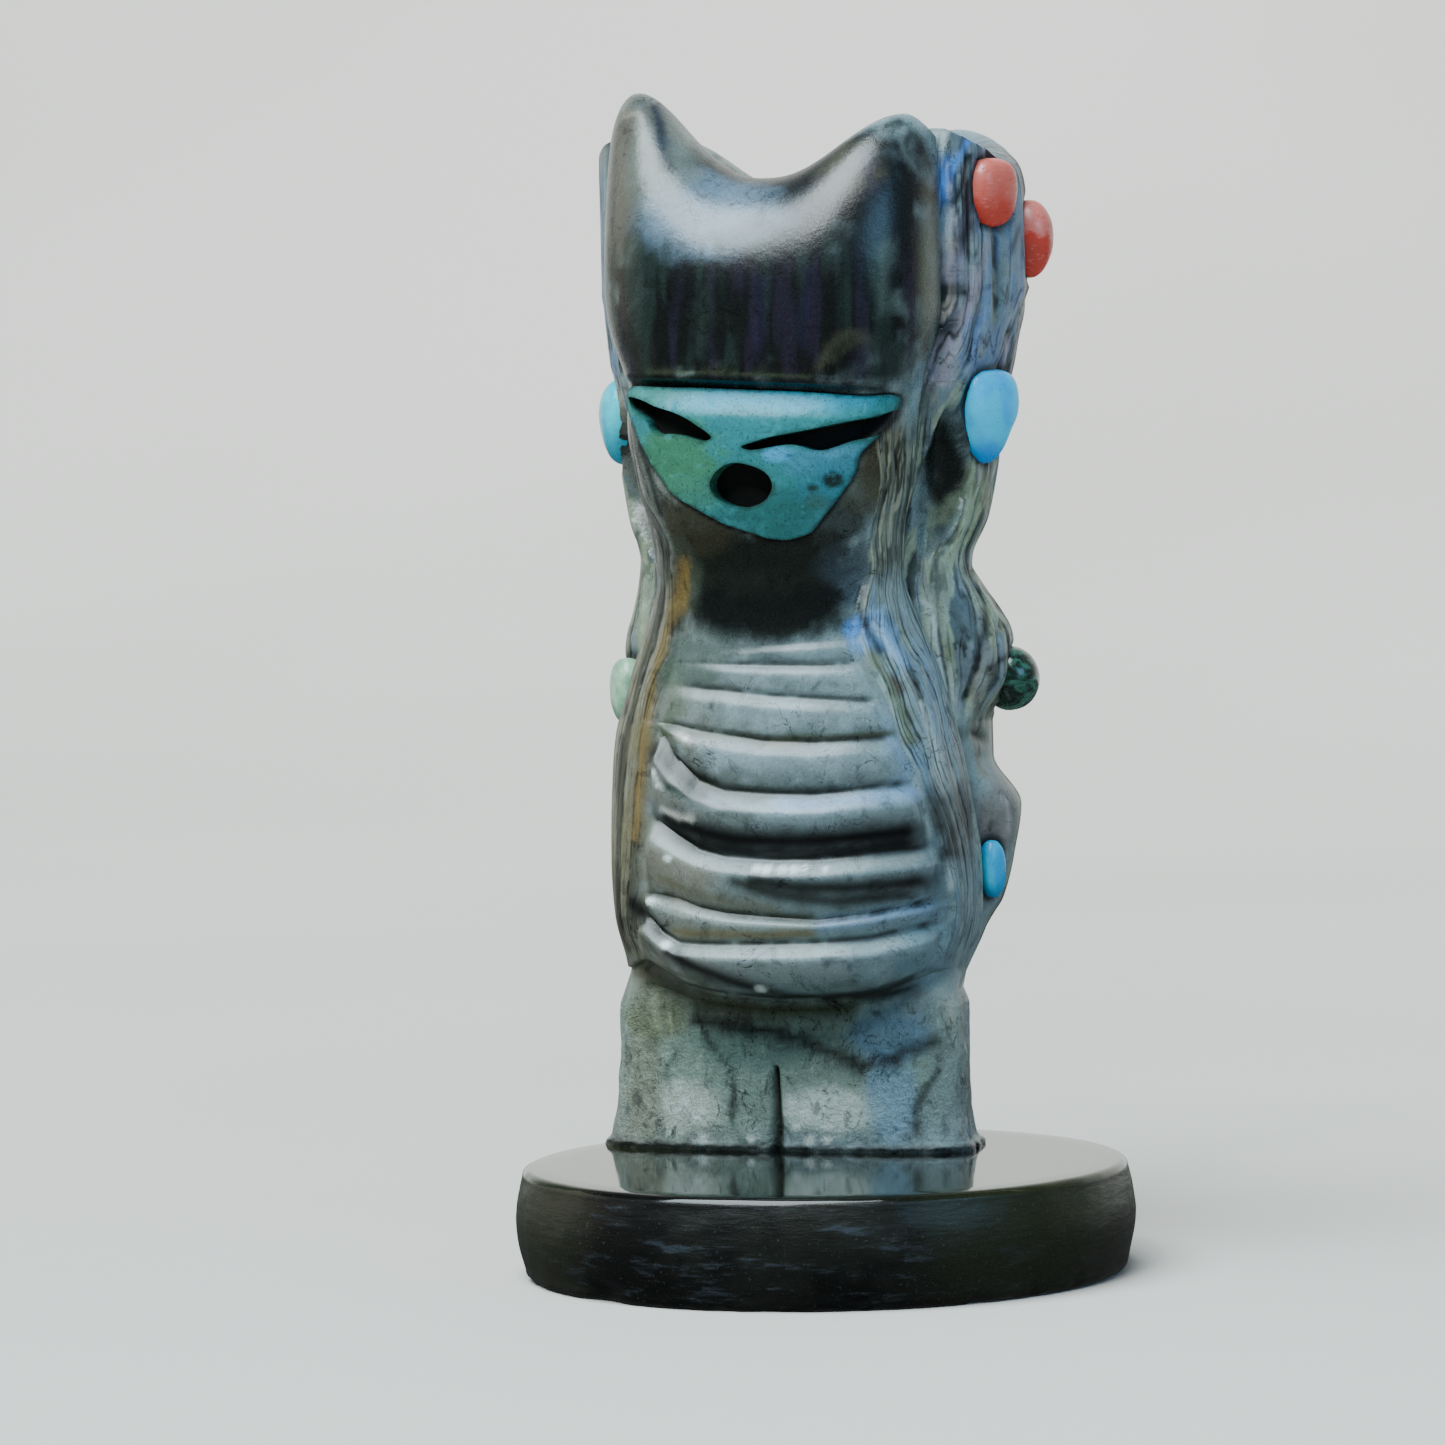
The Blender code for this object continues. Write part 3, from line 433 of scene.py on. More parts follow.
def fold_relief(x, z, lines, swells, starts):
    """How far the folds stand out, and how deep in a groove each point lies, from 0 to 1."""
    relief = np.zeros_like(z)
    nearest = np.full_like(z, 9.0)
    heights = [np.interp(x, GROOVE_X, line) for line in lines]
    for low, high, swell, begin in zip(heights[:-1], heights[1:], swells, starts):
        span = np.maximum(high - low, 0.12)
        share = np.clip((z - low) / span, 0.0, 1.0)
        fullness = swell * np.minimum(span / 1.6, 1.0) * smooth(begin - 1.5, begin + 2.5, x)
        rise = np.sin(math.pi / 2.0 * np.minimum(share / RISE_ENDS, 1.0))
        relief += fullness * rise * (1.0 - smooth(TURN_BEGINS, 1.0, share))
        nearest = np.minimum(nearest, np.abs(z - low) + 0.25 * smooth(begin + 1.5, begin - 2.0, x))
    return relief, 1.0 - smooth(0.04, 0.34, nearest)


def along_grooves(x, level):
    """Height of each point when its row runs along the grooves instead of level."""
    middle = GROOVE_LINES[:, GROOVE_MIDDLE]
    lines = [np.interp(x, GROOVE_X, line) for line in GROOVE_LINES]
    place = lines[0] + np.minimum(level - middle[0], 0.0) + np.maximum(level - middle[-1], 0.0)
    for number in range(len(middle) - 1):
        share = np.clip((level - middle[number]) / (middle[number + 1] - middle[number]), 0.0, 1.0)
        place = place + share * (lines[number + 1] - lines[number])
    return place


# %% [markdown]
# ## Lines cut with a tool
#
# Creases, cut lines and coloured veins are all strokes on the stone: a path through a few points, with a
# width. The next two helpers measure how close each point of the skin is to such a path, and how far a point
# lies inside a soft oval patch. A little noise moves the edge of both, because nothing on stone is ruled.

# %% Strokes and patches
def grain(points, size, seed=0.0, octaves=3):
    """Cloudy noise between about -1 and 1, with lumps of the given size in mm."""
    shift = Vector((seed, seed * 1.7, -seed))
    values = np.array([noise.fractal(Vector(point) / size + shift, 1.0, 2.0, octaves)
                       for point in points.reshape(-1, 3)])
    return values.reshape(points.shape[:-1])


def gap_to_path(points, path):
    """Distance of each point to a path through a few places."""
    nearest = np.full(points.shape[:-1], 1e9)
    path = np.array(path, dtype=float)
    for start, end in zip(path[:-1], path[1:]):
        way = end - start
        share = np.clip(((points - start) @ way) / (way @ way), 0.0, 1.0)
        gap = points - start - share[..., None] * way
        nearest = np.minimum(nearest, np.einsum("...i,...i->...", gap, gap))
    return np.sqrt(nearest)


def stroke(points, path, width):
    """1 on a path through points in mm, falling to 0 at the given distance from it."""
    return np.exp(-(gap_to_path(points, path) / width) ** 2)


def patch(points, at, half, wander=0.0, edge=0.35):
    """1 inside an oval patch, falling to 0 over its soft edge."""
    reach = np.sqrt((((points - np.array(at)) / np.array(half)) ** 2).sum(axis=-1)) + wander
    return 1.0 - smooth(1.0 - edge, 1.0 + edge, reach)


# %% [markdown]
# ## Carving the skin
#
# Now the detail is added to the plain rows by moving each point in or out along its outline's normal. The
# steps follow the carver's own order: the folds, the hair that lies beside them, the hollow behind the hair,
# the rear maiden's arm and feathers, and last the bed for the mask and the seats of the set stones.

# %% Sizes of the carved detail
FALL_RISE = 0.55
FALL_FOOT = 10.5
FALL_TOP = 34.5
HOLLOW = dict(foot=34.2, top=43.2, middle=0.34, half_width=0.30, depth=1.8,
              levels=(34.2, 37.8, 39.8, 43.2), shares=(0.3, 1.0, 0.9, 0.15))
ARM = dict(foot=24.0, top=34.5, middle=1.0, half_width=0.55, rise=0.5)
CORAL_SEAT = dict(foot=47.0, top=50.5, middle=1.1, half_width=0.5, rise=0.5)
REAR_FACE = np.array([(34.8, 0.0), (35.4, 1.6), (36.7, 3.8), (39.8, 6.2), (42.8, 7.6), (43.9, 7.8),
                      (44.3, 0.0)])
REAR_FACE_DEPTH = 0.6
# Lines cut in the sunk face of the rear maiden, the same on both sides: distance from the middle, height
REAR_EYE = ((1.3, 41.2), (3.0, 41.9), (5.2, 42.4))
REAR_MOUTH = ((-0.1, 38.6), (1.1, 38.7))
CREASES = (
    dict(path=((11.6, 6.2, 40.0), (10.6, 5.0, 37.6), (9.6, 3.4, 35.2)), width=0.28, depth=0.35),
    dict(path=((11.0, 8.0, 34.3), (10.6, 5.6, 33.8), (9.6, 3.9, 31.5), (9.6, 3.0, 29.5)), width=0.3,
         depth=0.45),
    dict(path=((12.2, 6.4, 31.0), (11.2, 4.4, 28.2), (10.2, 3.2, 26.0)), width=0.3, depth=0.35),
    dict(path=((12.6, 8.5, 22.9), (11.4, 5.4, 23.4), (10.6, 4.0, 23.8)), width=0.35, depth=0.25),
)
NOTCH = dict(height=4.8, width=0.30, depth=0.8)
MASK_BED_DEPTH = 1.25
MASK_RIM_DEPTH = 0.10
FOLD_GROOVE_DEPTH = 0.10
FOLD_WAVES = 0.05
REAR_FOLD_SWELL = 0.62
REAR_CUT_DEPTH = 0.32
SEAT_CUT_DEPTH = 0.16
CHISEL_DEPTH = 0.16
# How many strands lie across a fall or round the side, and how deep the valleys between them are
FALL_STRANDS, FALL_STRAND_DEPTH = 7.0, 0.085
FEATHERS, FEATHER_DEPTH = 3.0, 0.26
LOCKS, LOCK_DEPTH = 4.6, 0.22
REAR_STRANDS, REAR_STRAND_DEPTH = 12.0, 0.2


def mound(across, up, across_power, up_power):
    """A swelling that is 1 in its middle and 0 where across or up reaches 1 either way."""
    sideways = np.clip(1.0 - np.abs(across) ** across_power, 0.0, 1.0)
    return sideways * np.clip(1.0 - np.abs(up) ** up_power, 0.0, 1.0)


def between(sizes, height):
    """Height as a share of the way from the middle of a feature to its top."""
    middle = (sizes["foot"] + sizes["top"]) / 2.0
    return (height - middle) / (sizes["top"] - middle)


# %% [markdown]
# ## The mask's outline
#
# The mask is a stylised face: a slab of turquoise with a straight brow and a pointed chin, two slanting eye
# slits and a round mouth. Its outline is kept as the points where the edge turns, and is needed twice: to
# sink its bed in the marble, and to cut the turquoise itself.

# %% Outline of the mask, its eyes and its mouth
MASK_OUTLINE = ((-6.9, 44.6), (-4.7, 44.5), (-2.0, 44.4), (0.4, 44.25), (3.9, 44.05), (6.9, 43.75),
                (8.2, 43.8), (8.6, 43.6), (8.5, 42.9), (8.2, 42.1), (7.3, 41.0), (6.85, 40.5),
                (6.6, 39.9), (6.5, 39.4), (6.1, 38.7), (5.7, 38.1), (5.3, 37.6), (4.4, 36.5),
                (3.9, 35.95), (3.2, 35.7), (2.5, 35.55), (1.5, 35.65), (0.5, 36.0), (-1.2, 36.6),
                (-3.1, 37.65), (-4.2, 38.3), (-5.0, 39.3), (-5.9, 40.5), (-6.7, 42.0), (-7.35, 43.3),
                (-7.5, 44.2))
RIGHT_EYE = ((0.4, 41.0), (1.0, 41.2), (2.1, 41.5), (3.3, 41.7), (4.4, 41.9), (5.4, 42.1), (6.4, 42.3),
             (7.4, 42.5), (8.2, 42.8), (9.0, 43.1), (9.2, 42.3), (8.4, 41.8), (7.3, 41.35),
             (6.8, 41.25), (6.3, 41.1), (5.8, 40.9), (5.1, 40.7), (4.4, 40.7), (3.9, 40.9),
             (3.2, 41.05), (2.3, 40.95), (1.3, 40.8), (0.7, 40.8))
LEFT_EYE = ((-7.25, 44.0), (-6.2, 43.8), (-5.1, 43.4), (-4.0, 43.1), (-3.0, 42.7), (-2.2, 42.2),
            (-1.6, 41.8), (-1.4, 41.5), (-1.9, 41.35), (-2.6, 41.5), (-3.4, 41.7), (-4.2, 41.8),
            (-4.9, 41.8), (-5.4, 42.1), (-5.7, 42.6), (-6.3, 42.95), (-6.9, 43.3), (-7.2, 43.7))
MOUTH = ((-1.7, 38.75), (-1.2, 39.6), (-0.3, 40.05), (0.7, 39.95), (1.7, 39.5), (2.1, 38.8),
         (1.75, 38.0), (0.9, 37.55), (-0.1, 37.5), (-1.2, 37.9))


def crease_tilt(x, level):
    """How much the brow line and the rows near it rise at the left and drop at the right."""
    return (0.2 - 0.06 * x) * np.exp(-((level - 44.1) / 2.2) ** 2)


def rounded(outline, pieces):
    """Put points between those of a closed outline, on a smooth curve through them."""
    points = np.array(outline)
    before, start, end, after = (np.roll(points, shift, axis=0) for shift in (1, 0, -1, -2))
    s = (np.arange(pieces) / pieces)[None, :, None]
    before, start, end, after = (item[:, None, :] for item in (before, start, end, after))
    bend = 2.0 * before - 5.0 * start + 4.0 * end - after
    twist = 3.0 * start - before - 3.0 * end + after
    curve = 0.5 * (2.0 * start + (end - before) * s + bend * s ** 2 + twist * s ** 3)
    return curve.reshape(-1, 2)


def depth_inside(x, z, outline):
    """Distance to a closed outline in mm, positive inside it and negative outside."""
    outline = np.array(outline)
    point = np.stack([x, z], axis=-1)
    nearest = np.full(x.shape, 1e9)
    inside = np.zeros(x.shape, dtype=bool)
    for start, end in zip(outline, np.roll(outline, -1, axis=0)):
        way = end - start
        share = np.clip(((point - start) @ way) / (way @ way), 0.0, 1.0)
        gap = point - start - share[..., None] * way
        nearest = np.minimum(nearest, np.hypot(gap[..., 0], gap[..., 1]))
        crosses = (start[1] > z) != (end[1] > z)
        with np.errstate(divide="ignore", invalid="ignore"):
            cut_x = start[0] + (z - start[1]) / (end[1] - start[1]) * (end[0] - start[0])
        inside ^= crosses & (x < cut_x)
    return np.where(inside, nearest, -nearest)


# %% [markdown]
# ## Where the set stones sit
#
# Small stones are set in the sides of the figure: blue turquoise for the ears and the hip, coral on the rear
# crown, a dark green bead and a pale green stone at the elbows. The bead is round. The others are ovals with
# more or less square shoulders, and the ears narrow towards the foot. Their places and sizes come first,
# because the marble has a shallow cut line round each seat.

# %% Places of the set stones
# Middle, half sizes, turn outwards in degrees, taper of the foot, and squareness of the top and of the foot
STONE_SIZES = dict(
    ear_stone_right=((11.4, 4.8, 42.45), (1.45, 2.2, 2.75), 25.0, 0.26, (3.6, 2.1)),
    ear_stone_left=((-11.1, 4.8, 42.6), (1.45, 2.2, 2.55), -25.0, 0.1, (2.4, 2.2)),
    hip_stone_right=((11.35, 4.9, 15.8), (0.7, 0.8, 1.7), 30.0, 0.0, (2.4, 2.4)),
    coral_front_right=((12.1, 4.2, 55.5), (1.3, 1.8, 2.0), 25.0, 0.08, (3.1, 2.6)),
    coral_rear_right=((12.95, 9.5, 52.9), (1.5, 1.7, 2.3), -20.0, 0.1, (2.2, 2.2)),
    coral_rear_left=((-11.2, 10.0, 52.9), (1.5, 1.5, 2.3), 40.0, 0.05, (2.3, 2.3)),
    elbow_bead_right=((11.8, 7.9, 26.9), (1.75, 1.85, 1.9), 0.0, 0.0, (2.0, 2.0)),
    elbow_stone_left=((-10.65, 3.3, 26.5), (1.0, 1.6, 2.0), -35.0, 0.05, (2.6, 2.4)),
)
STONES = {name: dict(zip(("at", "half", "turn", "taper", "square"), sizes))
          for name, sizes in STONE_SIZES.items()}


def narrowing(up, taper):
    """How much slimmer a stone is towards its foot, where up runs from -1 to 1."""
    return 1.0 - taper * smooth(0.2, -1.0, up)


def power_at(up, square):
    """Squareness of a stone at a height: 2 is a plain oval, and more has squarer shoulders."""
    return square[1] + (square[0] - square[1]) * smooth(-0.3, 0.3, up)


def reach_of_stone(points, at, half, turn, taper, square):
    """Distance from the middle of a stone, where 1 is its surface."""
    angle = math.radians(turn)
    offset = points - np.array(at)
    up = np.clip(offset[..., 2] / half[2], -1.5, 1.5)
    slim = narrowing(up, taper)
    out = (offset[..., 0] * math.cos(angle) - offset[..., 1] * math.sin(angle)) / half[0] / slim
    across = (offset[..., 0] * math.sin(angle) + offset[..., 1] * math.cos(angle)) / half[1] / slim
    power = power_at(up, square)
    return (np.abs(out) ** power + np.abs(across) ** power + np.abs(up) ** power) ** (1.0 / power)


# %% [markdown]
# ## From plain rows to carved rows
#
# First the four quarters of the outline are joined at every height. On the panel the rows are then led along
# the grooves, because a groove that cut across the rows would show as a flight of stairs. After that each
# kind of relief is added in turn, and every one fades out where the next one begins.

# %% Carve the rows
def outwards(x, y):
    """Unit vectors that point out of each row's closed outline."""
    along_x = np.roll(x, -1, axis=1) - np.roll(x, 1, axis=1)
    along_y = np.roll(y, -1, axis=1) - np.roll(y, 1, axis=1)
    length = np.maximum(np.hypot(along_x, along_y), 1e-6)
    return along_y / length, -along_x / length


def read_again(values, level):
    """Values of the plain rows, read at other heights, column by column."""
    return np.stack([np.interp(level[:, k], ROWS, values[:, k]) for k in range(values.shape[1])], axis=1)


def valley(phase, depth):
    """Relief of strands that are one unit of phase wide: round backs with a sharp valley between them."""
    return -depth * (np.abs((phase % 1.0) - 0.5) * 2.0) ** 3


quarters = (front_half(ROWS, 1), rear_half(ROWS, 1), rear_half(ROWS, -1), front_half(ROWS, -1))
x = joined(*(quarter[0] for quarter in quarters), mirror=-1.0)
y = joined(*(quarter[1] for quarter in quarters))
level_z = ROWS[:, None] + np.zeros_like(x)
plain_z = level_z + along(CLIMB, 1, ROWS)[:, None] * np.minimum((x / CLIMB_REACH) ** 2, CLIMB_LIMIT)

# On the panel the rows run along the grooves, and at the brow they tilt with it
follow = np.where(IS_FRONT[None, :], smooth(0.5, 0.0, FALL_SHARE), 0.0)
follow = follow * smooth(7.2, 8.7, level_z) * smooth(32.0, 29.8, level_z)
shift = follow * (along_grooves(x, level_z) - plain_z)
shift += np.where(IS_FRONT[None, :], smooth(1.0, 0.3, FALL_SHARE), 0.0) * crease_tilt(x, level_z)
z = plain_z + shift
level = level_z + shift * smooth(9.5, 12.5, level_z) * smooth(36.0, 32.0, level_z)
x, y = read_again(x, level), read_again(y, level)
plain = np.stack([x, y, z], axis=-1)
out_x, out_y = outwards(x, y)
coarse_noise = grain(plain, 2.2, 3.0)
long_noise = grain(plain * np.array([1.0, 1.0, 0.2]), 1.7, 5.0)

# Folds, fading where the hair covers them
on_panel = IS_FRONT[None, :] * (1.0 - smooth(-0.12, 0.0, FALL_SHARE))
folds, fold_grooves = fold_relief(x, z, GROOVE_LINES, FOLD_SWELLS, FOLD_STARTS)
below_neck = smooth(30.3, 29.2, z)
relief = folds * on_panel - FOLD_GROOVE_DEPTH * fold_grooves * on_panel * below_neck
relief += FOLD_WAVES * coarse_noise * on_panel * smooth(31.0, 29.0, z) * smooth(8.0, 9.5, z)

# Hair that frames the folds: a raised band, ridged along its length
fall_reach = smooth(FALL_FOOT - 1.5, FALL_FOOT + 1.5, level_z)
fall_reach *= smooth(FALL_TOP + 2.0, FALL_TOP - 1.0, level_z)
band = smooth(-0.03, 0.06, FALL_SHARE) * (1.0 - 0.6 * smooth(0.1, 0.7, FALL_SHARE)) * IS_FRONT[None, :]
relief += FALL_RISE * fall_reach * band
hair_reach = smooth(9.5, 12.5, z) * smooth(43.5, 40.0, z)
front_hair = smooth(0.0, 0.05, FALL_SHARE) * hair_reach * IS_FRONT[None, :]
strand = FALL_STRANDS * FALL_SHARE + 0.6 * np.sin(5.0 * FALL_SHARE + 0.7) + 0.45 * long_noise
relief += front_hair * valley(strand, FALL_STRAND_DEPTH)

# Feathers and hair on the flare of the rear maiden
feather_reach = smooth(43.0, 46.0, z)
on_flare = (ROUND_SHARE >= 0.0) * smooth(2.0, 1.25, ROUND_SHARE)
feather = FEATHERS * ROUND_SHARE + 0.35 * np.sin(4.0 * ROUND_SHARE) - 0.10 * (z - 50.0) + 0.5 * long_noise
relief += on_flare * feather_reach * valley(feather, FEATHER_DEPTH)
lock_reach = smooth(24.0, 26.0, z) * smooth(46.0, 43.0, z)
lock = LOCKS * ROUND_SHARE + 0.4 * np.sin(5.0 * ROUND_SHARE + 1.0) - 0.12 * (z - 34.0) + 0.45 * long_noise
relief += on_flare * lock_reach * valley(lock, LOCK_DEPTH)

# Hollow behind the hair, and the arm below it
half_width = HOLLOW["half_width"] * np.interp(level_z, HOLLOW["levels"], HOLLOW["shares"])
hollow = mound((ROUND_SHARE - HOLLOW["middle"]) / half_width, between(HOLLOW, level_z), 2, 4) ** 0.6
relief = relief * (1.0 - 0.8 * smooth(0.1, 0.5, hollow)) - HOLLOW["depth"] * hollow
arm_across = (ROUND_SHARE - ARM["middle"]) / ARM["half_width"]
relief += ARM["rise"] * mound(arm_across, between(ARM, level_z), 4, 2)
seat_across = np.exp(-((ROUND_SHARE - CORAL_SEAT["middle"]) / CORAL_SEAT["half_width"]) ** 2)
seat_up = smooth(CORAL_SEAT["foot"], CORAL_SEAT["top"], level_z)
relief += CORAL_SEAT["rise"] * seat_across * seat_up * (x > 0.0)

# Rear maiden: folds, hair and a sunk face with lightly cut eyes and a mouth
rear_inside = smooth(0.75, 1.1, REAR_HAIR_SHARE)
rear_lines = [np.full(len(GROOVE_X), value) for value in REAR_GROOVES]
rear_count = len(REAR_GROOVES) - 1
rear_folds, rear_fold_grooves = fold_relief(x, level_z, rear_lines, (REAR_FOLD_SWELL,) * rear_count,
                                            (-99.0,) * rear_count)
relief += rear_folds * rear_inside
rear_strand = REAR_STRANDS * ROUND_SHARE + 0.5 * np.sin(7.0 * ROUND_SHARE) + 0.3 * long_noise
rear_hair = (ROUND_SHARE > 1.0) * smooth(1.1, 0.8, REAR_HAIR_SHARE) * smooth(10.0, 13.0, z)
relief += rear_hair * valley(rear_strand, REAR_STRAND_DEPTH)
rear_face_edge = np.interp(level_z, REAR_FACE[:, 0], REAR_FACE[:, 1])
rear_face = (ROUND_SHARE > 1.0) * smooth(rear_face_edge, rear_face_edge - 0.35, np.abs(x))
relief -= REAR_FACE_DEPTH * rear_face
flat_back = np.stack([np.abs(x), level_z], axis=-1)
rear_cuts = stroke(flat_back, REAR_EYE, 0.30) + stroke(flat_back, REAR_MOUTH, 0.36)
relief -= REAR_CUT_DEPTH * np.clip(rear_cuts, 0.0, 1.0) * rear_face

# Bed of the mask, deep enough for the eyes and the mouth to read as dark openings
mask_curve = rounded(MASK_OUTLINE, 3)
on_front_face = IS_FRONT[None, :] & (y < 0.0)
mask_depth = np.where(on_front_face, depth_inside(x, z, mask_curve), -9.0)
relief -= MASK_BED_DEPTH * smooth(0.10, 0.45, mask_depth)
relief -= MASK_RIM_DEPTH * np.exp(-(mask_depth / 0.16) ** 2)

print("relief from", round(relief.min(), 2), "to", round(relief.max(), 2), "mm")

# %% [markdown]
# ## The crown
#
# Over the last row the skin goes on, up and over two scooped rims. The front crown has two horns of
# different height, the rear crown is lower, and a groove runs between them. The rows of the front and of the
# back are zipped together along that groove, which closes the skin at the top.

# %% Crown rows
CROWN_ROWS = 46
SCOOP_HEIGHT = 56.6
LEFT_HORN_RISE = 5.3
RIGHT_HORN_RISE = 3.5
HORN_X = 8.2
HORN_SHOULDER = 0.5
REAR_SCOOP_HEIGHT = 55.8
REAR_HORN_RISE = 3.7
REAR_HORN_X = 8.7
REAR_HORN_SHOULDER = 0.12
REAR_CROWN_POWERS = (3.0, 1.6)
LEFT_HORN_SWELL = 0.6
CROWN_GROOVE_DEPTH = 1.1
RIM_SQUARENESS = 24
FRONT_RIM_PLACE = 0.82
REAR_RIM_PLACE = 0.36


def scoop(x, tip_x, tip_rise, shoulder):
    """Height of a crown's rim above its lowest point."""
    share = np.clip(np.abs(x) / tip_x, 0.0, 1.0)
    beyond = np.clip(np.abs(x) - tip_x, 0.0, None)
    return tip_rise * (1.0 - np.cos(math.pi * share ** 1.2)) / 2.0 - shoulder * beyond ** 2


def rim_height(x, rear):
    """Height of the front or the rear crown's rim."""
    if rear:
        return REAR_SCOOP_HEIGHT + scoop(x, REAR_HORN_X, REAR_HORN_RISE, REAR_HORN_SHOULDER)
    rise = np.where(x < 0.0, LEFT_HORN_RISE, RIGHT_HORN_RISE)
    return SCOOP_HEIGHT + scoop(x, HORN_X, rise, HORN_SHOULDER)


def crown_rows(x, y, z):
    """Rows that carry the last outline over the two rims to the groove between them."""
    is_rear = steps > HALF_COLUMNS
    from_middle = np.where(is_rear, 2 * HALF_COLUMNS - steps, steps) / HALF_COLUMNS
    side = np.where(column <= COLUMNS // 2, 1.0, -1.0)
    target_x = side * np.where(side > 0.0, x[HALF_COLUMNS], -x[-HALF_COLUMNS]) * from_middle
    groove_floor = np.minimum(rim_height(target_x, False), rim_height(target_x, True))
    groove_floor = groove_floor - CROWN_GROOVE_DEPTH * (1.0 - from_middle ** 4)
    left_horn = from_middle ** 3 * (1.0 - from_middle ** RIM_SQUARENESS) * (side < 0.0) * ~is_rear
    rows = []
    for number in range(1, CROWN_ROWS + 1):
        q = 1.0 - math.cos(math.pi / 2.0 * number / CROWN_ROWS)
        share_x, share_y = (np.where(is_rear, q ** power, q) for power in REAR_CROWN_POWERS)
        place_x = x + (target_x - x) * share_x - LEFT_HORN_SWELL * left_horn * math.sin(math.pi * q)
        place_y = y + (y[HALF_COLUMNS] - y) * share_y
        rim = np.where(is_rear, rim_height(place_x, True), rim_height(place_x, False))
        rim = groove_floor + (rim - groove_floor) * (1.0 - from_middle ** RIM_SQUARENESS)
        rim_place = np.where(is_rear, REAR_RIM_PLACE, FRONT_RIM_PLACE)
        climb = np.sqrt(1.0 - (1.0 - np.minimum(q / rim_place, 1.0)) ** 2)
        drop = (rim - groove_floor) * smooth(rim_place, 1.0, q)
        rows.append((place_x, place_y, z + (rim - z) * climb - drop))
    return rows


carved_x = x + out_x * relief
carved_y = y + out_y * relief
top_rows = crown_rows(carved_x[-1], carved_y[-1], z[-1])
carved = np.stack([carved_x, carved_y, z], axis=-1)
crown = np.stack([np.stack(row, axis=-1) for row in top_rows])
skin = np.concatenate([carved, crown])
print("skin:", skin.shape[0], "rows of", skin.shape[1])

# %% [markdown]
# ## Seats, creases and the notch
#
# These cuts run across the crown as well as below it, so they are made on the whole skin. The direction in
# which a point moves is the skin's own normal, found from its neighbours along the row and up the column.

# %% Cut the seats and creases
def skin_normals(skin):
    """Unit normals of the skin, pointing outwards."""
    across = np.roll(skin, -1, axis=1) - np.roll(skin, 1, axis=1)
    upwards = np.gradient(skin, axis=0)
    normal = np.cross(across, upwards)
    return normal / np.maximum(np.linalg.norm(normal, axis=-1, keepdims=True), 1e-9)


normals = skin_normals(skin)
cut = np.zeros(skin.shape[:2])
seam = np.zeros(skin.shape[:2])
for stone in STONES.values():
    gap = (reach_of_stone(skin, **stone) - 1.0) * min(stone["half"])
    cut -= SEAT_CUT_DEPTH * np.exp(-((gap - 0.06) / 0.22) ** 2)
    seam = np.maximum(seam, np.exp(-((gap - 0.02) / 0.16) ** 2))
seam[:len(ROWS)] = np.maximum(seam[:len(ROWS)], np.exp(-(mask_depth / 0.14) ** 2))
crease_lines = np.zeros(skin.shape[:2])
for crease in CREASES:
    line = stroke(skin, crease["path"], crease["width"])
    cut -= crease["depth"] * line
    crease_lines = np.maximum(crease_lines, line)

# Notch between the feet, front and back
notch_width = NOTCH["width"] * (1.15 - 0.75 * skin[..., 2] / NOTCH["height"])
notch = np.exp(-(skin[..., 0] / np.maximum(notch_width, 0.05)) ** 2)
notch = notch * smooth(NOTCH["height"], NOTCH["height"] - 0.5, skin[..., 2])
cut -= NOTCH["depth"] * notch

# The foot was left rough: upright facets from a chisel
foot_noise = grain(skin * np.array([1.0, 1.0, 0.6]), 2.0, 17.0, octaves=4)
rough_cut = smooth(8.8, 8.2, skin[..., 2]) * smooth(-0.2, 0.6, skin[..., 2])
cut += CHISEL_DEPTH * foot_noise * rough_cut

# Squeezed-out glue under the soles, which also closes the gap to the slab
glue = smooth(0.45, -0.05, skin[..., 2])
glue_rows = int((ROWS < 1.0).sum())
glue_lumps = grain(skin[:glue_rows], 0.9, 21.0)
cut[:glue_rows] += (0.26 + 0.22 * glue_lumps) * glue[:glue_rows] ** 2
skin = skin + normals * cut[..., None]
print("deepest cut, mm:", round(-cut.min(), 2))

# %% [markdown]
# ## The stone's colours
#
# The marble isn't one colour. Its crown and neck are almost black, a black band crosses the folds, and the
# rest is blue-grey with taupe, olive and ochre stains. These broad areas belong to this piece of stone, so
# they are painted point by point as a colour attribute: soft patches for the areas, strokes for the veins.
# Some patches and strokes are painted light instead: highlights, blue reflections of the light at the right
# and shade in hollows and grooves. The fine grain is left to the material.

# %% Colours of the stone
def linear(code):
    """A colour code as linear red, green and blue."""
    value = np.array([int(code[i:i + 2], 16) for i in (1, 3, 5)]) / 255.0
    return np.where(value <= 0.04045, value / 12.92, ((value + 0.055) / 1.055) ** 2.4)


def paint(tones, amount, code):
    """Blend a colour over the painted tones."""
    amount = np.clip(amount, 0.0, 1.0)[..., None]
    return tones * (1.0 - amount) + linear(code) * amount


big_cloud = grain(skin, 4.5, 31.0)
small_cloud = grain(skin, 1.3, 37.0, octaves=4)
long_cloud = grain(skin * np.array([1.0, 1.0, 0.14]), 1.3, 43.0)
wander = 0.26 * big_cloud + 0.20 * small_cloud

tones = np.broadcast_to(linear("#84949c"), skin.shape).copy()
# Warm taupe over the left side: partly the stone's own colour, partly painted warm light from the left
tones = paint(tones, smooth(3.0, -6.0, skin[..., 0]) * 0.85, "#857e74")
tones = paint(tones, smooth(0.15, 0.55, small_cloud) * 0.30, "#a4afb5")
tones = paint(tones, smooth(-0.1, -0.5, big_cloud + 0.4 * small_cloud) * 0.55, "#4e5650")

